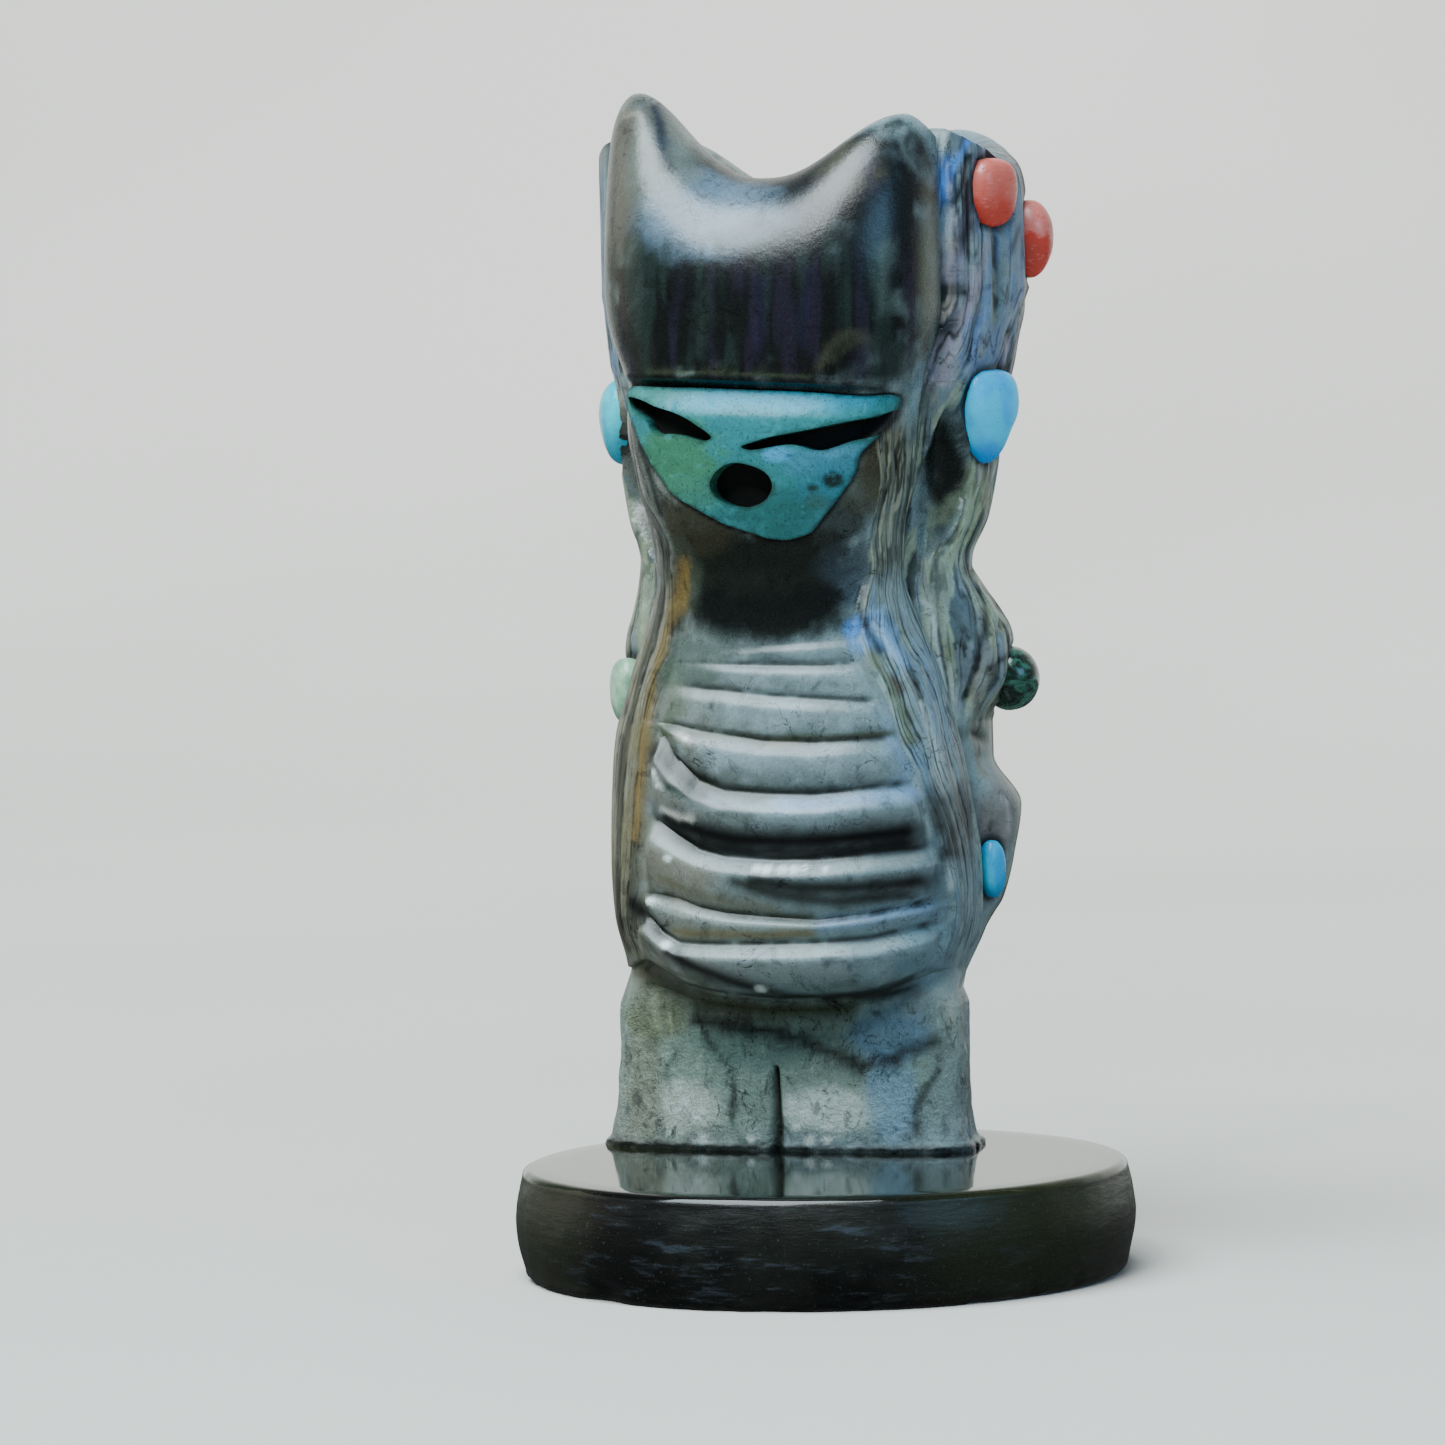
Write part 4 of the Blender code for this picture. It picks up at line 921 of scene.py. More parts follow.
# Area, colour, middle, half sizes, strength
AREAS = (
    ("side of the crown", "#7488a0", (11.5, 3.0, 51.0), (2.6, 4.5, 9.5), 0.85),
    ("rear horn", "#252b33", (8.8, 2.8, 58.6), (2.6, 2.4, 2.0), 0.95),
    ("behind the coral", "#8d8782", (11.0, 6.5, 57.0), (2.2, 3.0, 2.0), 0.85),
    ("under the rear coral", "#9a7d74", (13.0, 9.4, 50.0), (1.4, 2.0, 1.2), 0.8),
    ("crown", "#0f1211", (0.8, -5.0, 49.0), (11.8, 6.5, 7.4), 1.0),
    ("crown, upper part", "#14181b", (3.6, -4.0, 55.2), (10.0, 6.0, 5.0), 1.0),
    # Painted highlight: the reflection of the window above, laid into the crown's colour
    ("crown, painted highlight", "#7688a0", (-2.2, -6.2, 55.2), (4.6, 3.6, 2.9), 0.75),
    ("crown, tan stain", "#5e564a", (6.2, -4.6, 56.6), (2.0, 3.0, 1.9), 0.6),
    ("left horn", "#5e5750", (-8.0, -3.2, 57.6), (2.9, 4.0, 5.0), 0.95),
    ("left horn, inner side", "#6d6f6a", (-5.4, -4.2, 57.8), (2.0, 3.5, 3.0), 0.7),
    ("left horn, tip", "#4a4642", (-7.6, -3.0, 61.6), (1.6, 3.0, 0.8), 0.6),
    ("right edge of the crown", "#4a503c", (10.2, -0.8, 49.5), (1.0, 1.7, 6.5), 0.8),
    ("left foot of the crown", "#2c2b27", (-7.6, -4.8, 46.6), (2.4, 3.0, 3.2), 0.7),
    ("left edge of the crown", "#56544b", (-9.6, -1.5, 49.0), (1.1, 2.4, 6.0), 0.6),
    ("below the neck", "#3a4444", (2.0, -4.5, 29.8), (5.2, 3.0, 1.7), 0.6),
    ("neck", "#101614", (1.0, -4.5, 32.1), (6.4, 3.2, 2.8), 1.0),
    ("throat", "#1c231c", (0.6, -5.0, 34.6), (5.4, 2.8, 2.1), 1.0),
    ("left of the chin", "#3d3826", (-3.2, -5.8, 36.4), (2.8, 2.0, 1.6), 0.9),
    ("left of the neck", "#474d3f", (-4.6, -4.8, 33.4), (1.3, 2.4, 2.2), 0.8),
    ("right of the chin", "#272b24", (5.6, -4.8, 36.6), (1.8, 2.2, 1.6), 0.85),
    # Painted reflection: a soft blue-grey sheen on the dark stone right of the neck
    ("right of the neck, painted reflection", "#36424e", (5.8, -3.4, 34.0), (2.2, 2.2, 1.3), 0.7),
    ("jaw", "#453c28", (7.8, -3.8, 40.0), (1.5, 3.0, 2.6), 0.95),
    ("jaw, lower", "#515040", (6.6, -4.2, 38.0), (1.1, 2.4, 1.2), 0.7),
    ("top of the panel, left", "#4d5a55", (-3.6, -5.0, 28.6), (3.0, 2.0, 1.7), 0.85),
    # Painted highlight: blue light from the right on the top of the right fall
    ("right fall, painted blue highlight", "#4f93e6", (6.8, -3.6, 30.0), (1.6, 2.2, 1.3), 0.95),
    ("right fall", "#7a97b8", (9.2, -2.2, 25.4), (1.8, 3.2, 4.6), 0.85),
    ("right fall, foot", "#6a8292", (10.5, -1.2, 14.8), (1.8, 3.2, 4.2), 0.7),
    ("left fall", "#7c745c", (-8.8, -2.0, 21.0), (2.6, 4.5, 10.0), 0.80),
    ("left hair beside the mask", "#857b76", (-8.2, -1.0, 37.5), (1.9, 4.0, 5.0), 0.8),
    ("left shoulder", "#84798a", (-8.4, -0.6, 32.6), (2.2, 4.0, 2.2), 0.6),
    ("hem, right side", "#6f8c9c", (9.6, -3.0, 11.4), (1.8, 3.0, 2.0), 0.7),
    ("foot", "#98aa9e", (0.0, -1.5, 4.6), (13.0, 5.0, 4.2), 0.9),
    ("foot, middle", "#6c8a84", (-1.0, -2.2, 6.0), (4.6, 2.0, 1.5), 0.75),
    # Painted highlights: the bright band low on the foot, in the middle and at the left
    ("foot, belt, painted highlight", "#f2f8f2", (3.2, -2.2, 2.2), (2.9, 2.0, 1.4), 0.85),
    ("foot, left side, painted highlight", "#dcded2", (-5.8, -2.0, 2.3), (2.4, 2.6, 1.5), 0.85),
    ("foot, far left", "#857f6c", (-8.6, -1.4, 4.0), (1.4, 2.6, 3.6), 0.7),
    ("foot, upper left", "#6f7254", (-7.4, -1.6, 7.3), (2.2, 2.4, 1.2), 0.75),
    # Painted reflection: blue light from the right on the foot's right side
    ("foot, right side, painted blue reflection", "#8ab0d4", (7.0, -1.8, 2.8), (1.6, 2.2, 2.6), 0.65),
    ("foot, upper right, painted blue reflection", "#6a92bc", (7.2, -1.9, 6.6), (2.4, 2.0, 1.4), 0.65),
    ("foot, right edge", "#8fa0a4", (9.8, -0.8, 3.4), (1.0, 1.8, 3.4), 0.7),
    # Painted shade: the hollow behind the hair is made nearly black
    ("hollow", "#14170f", (9.2, 3.6, 39.2), (1.3, 2.2, 3.8), 0.95),
    ("lock below the ear", "#98a388", (11.0, 5.6, 36.4), (1.6, 2.0, 2.4), 0.85),
    ("arm", "#99a48c", (11.4, 5.8, 31.6), (1.4, 2.2, 1.9), 0.85),
    ("shoulder in front of the arm", "#7b93a8", (10.4, 3.4, 31.4), (1.3, 1.6, 2.4), 0.8),
    # Painted shade under the arm
    ("below the arm, painted shade", "#1f241c", (10.0, 2.7, 28.0), (0.9, 1.4, 1.3), 0.9),
    ("above the bead", "#6f82a0", (11.4, 4.4, 28.6), (0.9, 1.6, 0.8), 0.8),
    ("lilac stain by the crown", "#958aa4", (11.8, 2.8, 47.4), (1.1, 1.6, 3.2), 0.8),
    ("beside the bead", "#8f8778", (11.2, 5.4, 24.5), (1.1, 1.9, 2.0), 0.7),
    ("rear hip", "#8a8082", (12.2, 5.6, 19.4), (1.6, 3.0, 2.4), 0.75),
)
for name, code, at, half, strength in AREAS:
    tones = paint(tones, strength * patch(skin, at, half, wander), code)

# Purple and green streaks run down the black crown below its highlight: painted reflection along the fibres
on_crown = smooth(44.2, 45.0, skin[..., 2]) * smooth(54.0, 51.0, skin[..., 2] + 2.0 * long_cloud)
on_crown *= smooth(1.0, -1.5, skin[..., 1]) * smooth(10.5, 9.5, np.abs(skin[..., 0]))
tones = paint(tones, 0.60 * on_crown * smooth(0.05, 0.45, long_cloud), "#2a2136")
tones = paint(tones, 0.60 * on_crown * smooth(-0.05, -0.45, long_cloud), "#263733")
print("colour areas:", len(AREAS))

# %% [markdown]
# ### Every strand has its own colour
#
# On the hair and the feathers each strand is a little different from its neighbours, and changes colour
# once or twice on its way down. A strand's number is the whole part of the same phase that carved it, so
# colour and relief stay together. Both halves of a strand are numbered, and each number picks a colour from
# a small palette.

# %% Tint the strands
full_shape = skin.shape[:2]
strand_lines = np.zeros(full_shape)
strand_lines[:len(ROWS)] = np.where(ROUND_SHARE >= 1.0, rear_strand, np.where(z > 44.5, feather, lock))
strand_lines[:len(ROWS)] = np.where(IS_FRONT[None, :], strand, strand_lines[:len(ROWS)])
strand_lines[len(ROWS):] = strand_lines[len(ROWS) - 1]
hair = np.zeros(full_shape)
hair[:len(ROWS)] = np.clip(front_hair + on_flare * (feather_reach + 0.8 * lock_reach) + rear_hair, 0.0, 1.0)
hair[:len(ROWS)] *= 1.0 - smooth(0.05, 0.3, hollow)
hair[len(ROWS):] = on_flare * smooth(60.0, 56.0, skin[len(ROWS):, :, 2])


def tint_strands(tones, amount, palette, seed):
    """Give each half strand a colour of its own, which changes now and then along its length."""
    number = np.floor(strand_lines * 2.0)
    stretch = np.floor(2.2 * long_cloud + 0.37 * number)
    pick = (number * 5.0 + stretch * 3.0 + seed).astype(int) % len(palette)
    amount = np.clip(amount * hair, 0.0, 1.0)[..., None]
    return tones * (1.0 - amount) + np.array([linear(code) for code in palette])[pick] * amount


height_here = skin[..., 2]
upper = smooth(43.5, 45.5, height_here)
beside_mask = smooth(32.5, 34.5, height_here) * (1.0 - upper)
# Group, its columns, its heights, strength and palette
tints = (
    ("right fall", IS_FRONT & IS_RIGHT, 1.0 - beside_mask, 0.45,
     ("#6f8496", "#8699a6", "#566974", "#8fa2a6", "#7590a8", "#98a39a")),
    ("right hair", IS_FRONT & IS_RIGHT, beside_mask, 0.75,
     ("#aca78e", "#2c322b", "#858876", "#454b40", "#9a9680", "#5f6a68")),
    ("left fall", IS_FRONT & ~IS_RIGHT, 1.0 - beside_mask, 0.70,
     ("#736a5a", "#2a281f", "#8a8070", "#4e4836", "#171712", "#75674a")),
    ("left hair", IS_FRONT & ~IS_RIGHT, beside_mask, 0.60,
     ("#8b817c", "#4a4842", "#9a908a", "#25282a", "#7c746c")),
    ("feathers", ~IS_FRONT, upper, 0.80,
     ("#8496ac", "#161c24", "#a299b4", "#6084b4", "#b5a29c", "#323e48", "#8c98a2", "#1f2730")),
    ("side locks", ~IS_FRONT, 1.0 - upper, 0.75,
     ("#959f86", "#23281f", "#76868e", "#aab294", "#414a3c", "#7f8a98", "#8d8478")),
)
for number, (name, columns, reach, strength, palette) in enumerate(tints):
    tones = tint_strands(tones, strength * reach * columns[None, :], palette, number)
print("groups of strands:", len(tints))

# %% [markdown]
# ### Shades along the folds
#
# The folds aren't one grey either. Dark and light stone alternate along them, and the darkest is a black
# band across the middle. The pale lines on the crests are painted highlights, and the dark lines in some
# grooves, at the curled left ends and along the hem are painted shade. All of them follow the folds, so
# each one is a soft line that is given by x and height on the front.

# %% Shade the folds
# Colour, width, strength and path
SHADES = (
    ("#59654f", 0.70, 0.60, ((-5.4, 28.0), (-4.6, 26.0), (-5.6, 24.6))),
    # Painted highlights on the crests of the upper folds
    ("#8fa0ad", 0.50, 0.50, ((2.2, 29.2), (4.4, 29.3), (6.0, 29.5))),
    ("#8d9ba5", 0.55, 0.45, ((-1.6, 28.0), (2.0, 28.0), (6.6, 27.9))),
    ("#8f9ea9", 0.80, 0.50, ((-1.0, 25.6), (2.8, 25.6), (6.4, 25.3))),
    # Painted shade in a groove
    ("#4c5037", 0.26, 0.85, ((-5.2, 24.4), (-2.4, 24.3), (1.6, 24.1), (5.0, 24.1), (8.0, 24.3))),
    ("#8c7a4e", 0.22, 0.60, ((0.4, 23.8), (2.6, 23.75))),
    # Painted highlight on a crest
    ("#96a5b2", 0.80, 0.60, ((-2.0, 23.2), (2.0, 22.7), (6.6, 22.7))),
    # Painted shade at the curled left end of a fold and along its groove
    ("#10150f", 0.75, 0.92, ((-6.0, 23.4), (-5.0, 22.7), (-4.0, 22.0), (-2.8, 21.5))),
    ("#1c241a", 0.40, 0.85, ((-3.4, 21.6), (-1.4, 21.2), (2.2, 20.95), (5.0, 21.0))),
    ("#1f3a30", 0.26, 0.80, ((-4.8, 21.4), (-3.4, 20.9), (-1.6, 20.6), (0.4, 20.4))),
    # Painted highlights on a crest, blue towards its right end
    ("#9aa7b0", 0.30, 0.70, ((-2.2, 20.7), (0.2, 20.2), (2.6, 20.1))),
    ("#86a4cf", 0.40, 0.80, ((2.0, 20.3), (4.8, 20.4), (7.4, 20.7), (9.4, 20.8))),
    ("#6f747c", 0.55, 0.60, ((-6.2, 20.2), (-5.2, 19.4), (-4.4, 18.9))),
    ("#050606", 0.95, 1.00, ((-4.4, 19.2), (-2.6, 18.7), (-0.4, 18.3), (3.0, 18.2), (6.4, 18.4),
                             (8.8, 18.6))),
    ("#080a0a", 0.55, 1.00, ((-5.2, 19.4), (-4.2, 18.4), (-2.4, 17.8), (0.6, 17.5), (4.0, 17.4),
                             (8.6, 17.8))),
    # Painted highlight on the crest below the black band
    ("#98a0a2", 0.28, 0.65, ((-5.6, 18.2), (-4.4, 17.5), (-2.6, 17.1), (0.4, 16.8), (3.6, 16.7),
                             (7.0, 16.9), (9.4, 17.1))),
    ("#8f8478", 0.80, 0.70, ((-6.0, 17.2), (-4.4, 16.6), (-2.6, 16.0))),
    ("#12160f", 0.60, 0.95, ((0.6, 16.0), (3.0, 15.6), (6.0, 15.5), (9.4, 15.7))),
    ("#1c2116", 0.45, 0.85, ((-0.6, 15.9), (2.0, 15.1), (5.0, 14.7), (8.6, 14.9))),
    ("#6f6440", 0.40, 0.55, ((-5.6, 16.1), (-3.4, 15.2), (-0.6, 14.6), (1.6, 14.3))),
    # Painted shade in a groove
    ("#4a4630", 0.30, 0.80, ((-5.4, 15.0), (-3.0, 14.3), (0.4, 13.9), (3.6, 13.8))),
    # Painted highlights on a crest, blue towards its right end
    ("#a4aaa6", 0.30, 0.65, ((-6.2, 14.6), (-4.6, 14.0), (-2.0, 13.6), (0.6, 13.3), (3.4, 13.3))),
    ("#7d9cc4", 0.44, 0.70, ((4.4, 13.4), (6.6, 13.6), (9.4, 14.1))),
    ("#86703e", 0.30, 0.80, ((-4.8, 12.8), (-2.4, 12.8), (0.6, 12.75), (3.6, 12.85))),
    # Painted shade at the curled left ends of the lower folds
    ("#0e1110", 0.55, 0.95, ((-7.8, 14.4), (-7.0, 13.6), (-6.1, 12.8))),
    # Painted highlights on the crest of the hem fold
    ("#a8aea8", 0.40, 0.65, ((-5.0, 11.9), (-2.0, 12.0), (1.6, 12.0), (4.6, 12.0))),
    ("#93a5ae", 0.60, 0.60, ((4.6, 12.0), (7.4, 12.0), (9.4, 11.8))),
    ("#9a9c9c", 0.60, 0.50, ((-3.2, 11.2), (0.8, 10.6), (5.0, 10.6))),
    ("#0c0f0f", 0.42, 0.98, ((-5.2, 11.7), (-3.8, 11.0), (-2.3, 10.4), (-1.0, 9.9), (0.3, 9.5))),
    # Painted shade along the lower edge of the hem
    ("#171b15", 0.36, 0.90, ((0.3, 9.5), (1.8, 9.1), (3.4, 8.9), (6.0, 8.9), (8.4, 9.2))),
    ("#8f8a7c", 0.70, 0.60, ((-8.2, 12.6), (-7.4, 11.4), (-6.4, 10.6))),
    # Painted shadow of the hem on the top of the foot
    ("#3c4227", 0.55, 0.95, ((-8.0, 9.6), (-5.5, 8.9), (-3.0, 8.3), (-0.7, 8.0), (2.0, 8.0), (4.6, 8.1))),
    ("#c8cabc", 0.30, 0.60, ((9.6, 8.9), (10.2, 8.2), (10.2, 7.2))),
)
flat_front = skin[..., ::2]
seen_front = IS_FRONT[None, :] * smooth(3.0, 1.5, skin[..., 1])
for code, width, strength, path in SHADES:
    soft_width = width * (1.0 + 0.30 * np.clip(small_cloud, -0.8, 0.8))
    tones = paint(tones, strength * stroke(flat_front, path, soft_width) * seen_front, code)
print("shades:", len(SHADES))

# %% [markdown]
# ### Veins and streaks
#
# Thin colours are drawn like pencil lines. On the front a line is given by x and height, and on the sides by
# y and height, as if the carving had been pressed flat. A line's width swells and thins with the noise, so
# that it looks like a vein and not like a ruled mark. Not all of them are veins: some are painted highlights
# on ridges, crests and fold ends, and some are painted reflections on the crown.

# %% Veins and streaks
# Colour, width, strength and path: (x, height) on the front and (y, height) on the sides
VEINS = dict(front=(
    ("#8a6a3a", 0.32, 0.85, ((-4.3, 34.4), (-5.2, 31.0), (-6.1, 28.4), (-6.4, 26.4), (-6.8, 23.4),
                             (-7.1, 20.8), (-7.4, 18.2))),
    ("#8a6a3a", 0.22, 0.70, ((-4.2, 34.0), (-4.5, 31.6))),
    ("#6a5730", 0.26, 0.55, ((-5.4, 30.8), (-6.4, 27.0), (-7.2, 23.2))),
    ("#141611", 0.30, 0.85, ((-9.2, 29.4), (-9.0, 27.4), (-8.6, 25.6))),
    ("#141611", 0.26, 0.85, ((-8.6, 24.2), (-8.7, 22.2), (-9.0, 20.8))),
    ("#141611", 0.26, 0.80, ((-9.2, 16.8), (-9.2, 14.6), (-9.0, 12.9))),
    ("#4d4938", 0.26, 0.50, ((5.0, 45.5), (5.4, 46.3), (6.1, 47.1), (6.9, 47.4), (7.5, 47.0))),
    ("#4d4938", 0.26, 0.45, ((5.3, 45.7), (6.2, 46.2), (6.9, 46.9))),
    ("#454a36", 0.18, 0.60, ((-5.6, 45.4), (-2.0, 45.3), (1.5, 45.1), (4.4, 44.9))),
    ("#7c8880", 0.30, 0.55, ((-3.4, 45.2), (-2.6, 45.3))),
    # Painted reflections: streaks under the crown's highlight and a purple patch on the right horn
    ("#26203c", 0.42, 0.55, ((1.4, 46.2), (1.8, 50.4))),
    ("#26203c", 0.42, 0.55, ((4.1, 46.8), (4.5, 51.0))),
    ("#3c3648", 0.50, 0.60, ((7.0, 57.6), (7.6, 56.0))),
    ("#2f3d39", 0.50, 0.50, ((-2.2, 46.4), (-1.6, 50.0))),
    ("#515d58", 0.40, 0.60, ((8.3, 48.6), (8.5, 52.4))),
    ("#1a2438", 0.34, 0.90, ((-6.6, 60.9), (-5.9, 59.9), (-5.4, 58.4), (-5.0, 57.2))),
    ("#9a8478", 0.24, 0.60, ((-8.4, 60.4), (-7.4, 60.6), (-6.8, 60.2))),
    ("#23303f", 0.30, 0.55, ((-7.6, 61.2), (-6.8, 60.4), (-6.0, 58.8))),
    # Painted highlights along the ridge at the inner edge of the right fall
    ("#c6d2da", 0.15, 0.75, ((6.9, 30.6), (8.2, 28.4), (9.4, 25.6), (10.1, 22.6), (10.4, 19.6),
                             (10.6, 15.0))),
    ("#bccbd4", 0.12, 0.60, ((6.2, 29.8), (7.4, 27.4), (8.6, 24.4), (9.3, 21.0), (9.9, 16.6))),
    ("#66683f", 0.36, 0.80, ((6.9, 28.8), (7.9, 27.2), (8.5, 25.6), (9.0, 23.8))),
    ("#5a3d28", 0.20, 0.75, ((8.0, 27.5), (8.5, 26.7))),
    ("#12181d", 0.18, 0.90, ((6.0, 31.6), (6.5, 30.4), (7.3, 29.0))),
    ("#14191c", 0.16, 0.85, ((7.4, 30.8), (7.9, 29.6), (8.8, 27.6), (9.2, 26.2))),
    # Painted highlight: blue light on the top of the right fall
    ("#8ab6ec", 0.26, 0.75, ((7.0, 31.2), (7.7, 29.6), (8.4, 28.2))),
    ("#10161a", 0.70, 0.85, ((10.3, 20.2), (10.5, 18.6), (10.6, 17.2))),
    ("#14191c", 0.16, 0.80, ((10.5, 26.0), (10.9, 22.0), (11.1, 18.0))),
    ("#121612", 0.46, 0.90, ((-5.0, 7.3), (-2.6, 7.0), (-0.2, 6.8), (2.6, 5.9), (5.3, 4.8), (7.0, 5.2),
                             (9.4, 6.1))),
    ("#171c18", 0.26, 0.80, ((-4.8, 7.6), (-4.2, 6.2), (-3.2, 5.0), (-2.6, 3.8), (-2.8, 1.4))),
    ("#171c18", 0.24, 0.80, ((9.6, 4.4), (8.9, 3.4), (8.3, 2.2), (8.4, 1.0))),
    ("#1c2019", 0.30, 0.70, ((-8.9, 2.6), (-8.0, 1.6), (-7.2, 0.9))),
    ("#232820", 0.24, 0.60, ((-6.2, 5.4), (-7.0, 4.2), (-6.6, 3.0))),
    ("#b9b795", 0.20, 0.60, ((-7.6, 8.0), (-7.4, 6.6))),
    ("#b9b795", 0.16, 0.55, ((-6.6, 7.8), (-6.5, 6.4))),
    ("#9fb2ad", 0.14, 0.60, ((2.4, 5.2), (2.2, 4.0))),
    ("#9fb2ad", 0.14, 0.60, ((3.4, 5.0), (3.7, 3.8))),
    ("#20262a", 0.16, 0.85, ((-7.3, 42.0), (-6.9, 40.4), (-6.2, 38.2))),
    ("#20262a", 0.26, 0.90, ((-6.5, 41.2), (-5.9, 39.4), (-5.4, 37.2))),
    ("#2a2a24", 0.16, 0.70, ((-5.8, 36.2), (-5.6, 33.4), (-6.4, 30.2))),
    ("#2a2a24", 0.14, 0.65, ((-6.6, 34.4), (-6.9, 31.0), (-7.6, 27.6), (-8.2, 24.0))),
    # Painted highlights on the pointed left ends of the folds
    ("#d6c7bd", 0.20, 0.70, ((-4.3, 24.3), (-3.6, 23.9))),
    ("#d8d2cc", 0.15, 0.85, ((-5.9, 22.1), (-5.3, 21.3))),
    ("#d9cfcb", 0.20, 0.85, ((-5.4, 20.0), (-4.2, 19.6), (-3.4, 19.5))),
), right=(
    ("#0d1014", 0.26, 0.95, ((2.1, 57.6), (1.8, 56.2), (1.2, 54.6))),
    # Painted highlights on the rear crown's horn: a blue streak and a white glint
    ("#4f94f4", 0.24, 0.90, ((2.1, 58.4), (1.4, 57.2), (1.1, 55.8), (0.8, 54.8))),
    ("#d8dde2", 0.20, 0.90, ((1.2, 59.0), (1.0, 58.2))),
    ("#93a9c8", 0.22, 0.70, ((1.2, 54.4), (1.0, 51.6))),
    ("#8f86a2", 0.34, 0.75, ((3.7, 58.2), (2.6, 55.6), (1.9, 53.3), (1.2, 50.4))),
    ("#10151a", 0.30, 0.92, ((2.6, 56.4), (2.2, 54.4), (1.7, 52.2))),
    ("#10151a", 0.36, 0.90, ((1.0, 49.9), (1.9, 49.6))),
    ("#a491a4", 0.36, 0.75, ((3.3, 52.4), (2.4, 49.8), (1.2, 46.6), (0.9, 44.6))),
    ("#1a2026", 0.14, 0.85, ((3.0, 50.4), (2.4, 48.4), (2.0, 46.4))),
    ("#6b7a6e", 0.50, 0.60, ((4.6, 51.0), (4.2, 47.8))),
    ("#1a2130", 0.24, 0.80, ((6.4, 53.4), (5.6, 52.2))),
    ("#14202c", 0.16, 0.80, ((6.0, 47.6), (5.0, 45.6), (4.6, 45.2))),
    ("#aab49c", 0.36, 0.80, ((5.0, 39.4), (3.9, 36.8), (3.3, 34.2))),
    ("#161a14", 0.30, 0.85, ((6.2, 38.6), (5.0, 35.8), (4.2, 33.4))),
    ("#161a14", 0.24, 0.75, ((7.8, 37.2), (6.6, 34.4))),
    ("#a8b296", 0.30, 0.75, ((7.0, 33.6), (5.4, 31.4), (4.4, 29.2))),
    ("#1a1f1c", 0.22, 0.85, ((5.6, 33.6), (4.2, 30.4), (3.4, 28.2))),
    ("#1a1f1c", 0.20, 0.80, ((7.4, 30.4), (5.8, 28.4), (4.0, 27.6))),
    # Painted highlight along the same ridge, seen from the side
    ("#c3cdd2", 0.15, 0.75, ((1.9, 31.8), (2.1, 28.6), (2.6, 24.6), (3.2, 20.6), (4.6, 15.0))),
    ("#2a2218", 0.24, 0.75, ((4.6, 24.6), (4.4, 22.6))),
    ("#8a7a5a", 0.24, 0.60, ((3.9, 23.6), (4.4, 21.6))),
    ("#14181a", 0.18, 0.80, ((3.2, 20.8), (3.9, 18.2), (4.4, 15.6))),
    ("#b9a9b6", 0.30, 0.60, ((5.2, 20.0), (5.6, 18.0))),
), left=(
    ("#20262a", 0.20, 0.60, ((1.2, 30.0), (1.8, 24.0), (3.0, 17.0))),
    ("#20262a", 0.16, 0.60, ((2.4, 56.4), (2.0, 50.0), (2.6, 45.6))),
))
flat_side = skin[..., 1:]
FLAT = dict(front=(flat_front, seen_front),
            right=(flat_side, (ROUND_SHARE >= 0.0) & IS_RIGHT[None, :]),
            left=(flat_side, (ROUND_SHARE >= 0.0) & ~IS_RIGHT[None, :]))
uneven_width = 1.0 + 0.9 * np.clip(small_cloud, -0.6, 1.0)
for side, veins in VEINS.items():
    places, allowed = FLAT[side]
    for code, width, strength, path in veins:
        tones = paint(tones, strength * stroke(places, path, width * uneven_width) * allowed, code)

# Painted glints: small white spots on the crests of the folds and on the foot: x, height and size
PAINTED_GLINTS = ((-4.9, 17.2, 0.22), (0.6, 16.65, 0.22), (1.2, 16.6, 0.26), (2.1, 16.6, 0.22),
            (2.8, 16.6, 0.22), (3.4, 16.65, 0.18), (4.6, 16.6, 0.16), (-6.4, 14.6, 0.30),
            (-5.4, 12.1, 0.24), (0.3, 9.55, 0.26), (-3.9, 24.1, 0.16), (-5.9, 22.2, 0.16),
            (-5.6, 21.4, 0.14), (1.8, 1.9, 0.32), (0.9, 2.6, 0.28), (2.6, 2.4, 0.30), (3.2, 1.4, 0.3),
            (-4.9, 1.7, 0.3), (-5.6, 2.6, 0.28), (-6.2, 1.9, 0.26), (1.2, 1.3, 0.26), (4.1, 2.2, 0.26),
            (2.0, 0.35, 0.24), (3.0, 0.35, 0.22), (-4.6, 0.4, 0.24), (-1.6, 0.4, 0.2))
for glint_x, glint_z, size in PAINTED_GLINTS:
    across, up = (skin[..., 0] - glint_x) / (1.4 * size), (skin[..., 2] - glint_z) / size
    tones = paint(tones, 0.9 * np.exp(-(across ** 2 + up ** 2) ** 2) * seen_front, "#ffffff")

# Painted shade darkens the grooves; the bed of the mask is black, and the glue under the soles is dark
full_grooves = np.zeros(full_shape)
full_grooves[:len(ROWS)] = fold_grooves * on_panel * below_neck + 0.8 * rear_fold_grooves * rear_inside
tones = paint(tones, 0.80 * full_grooves * smooth(-0.7, 0.1, small_cloud), "#1c1e15")
brow_shadow = stroke(flat_front, ((-6.0, 44.85), (0.4, 44.6), (4.0, 44.4), (8.0, 44.1)), 0.22) * seen_front
tones = paint(tones, 0.85 * brow_shadow, "#0b0d0c")
in_bed = np.zeros(full_shape)
in_bed[:len(ROWS)] = smooth(0.0, 0.2, mask_depth)
tones = paint(tones, in_bed, "#0b0a08")
tones = paint(tones, 0.85 * seam, "#0f1113")
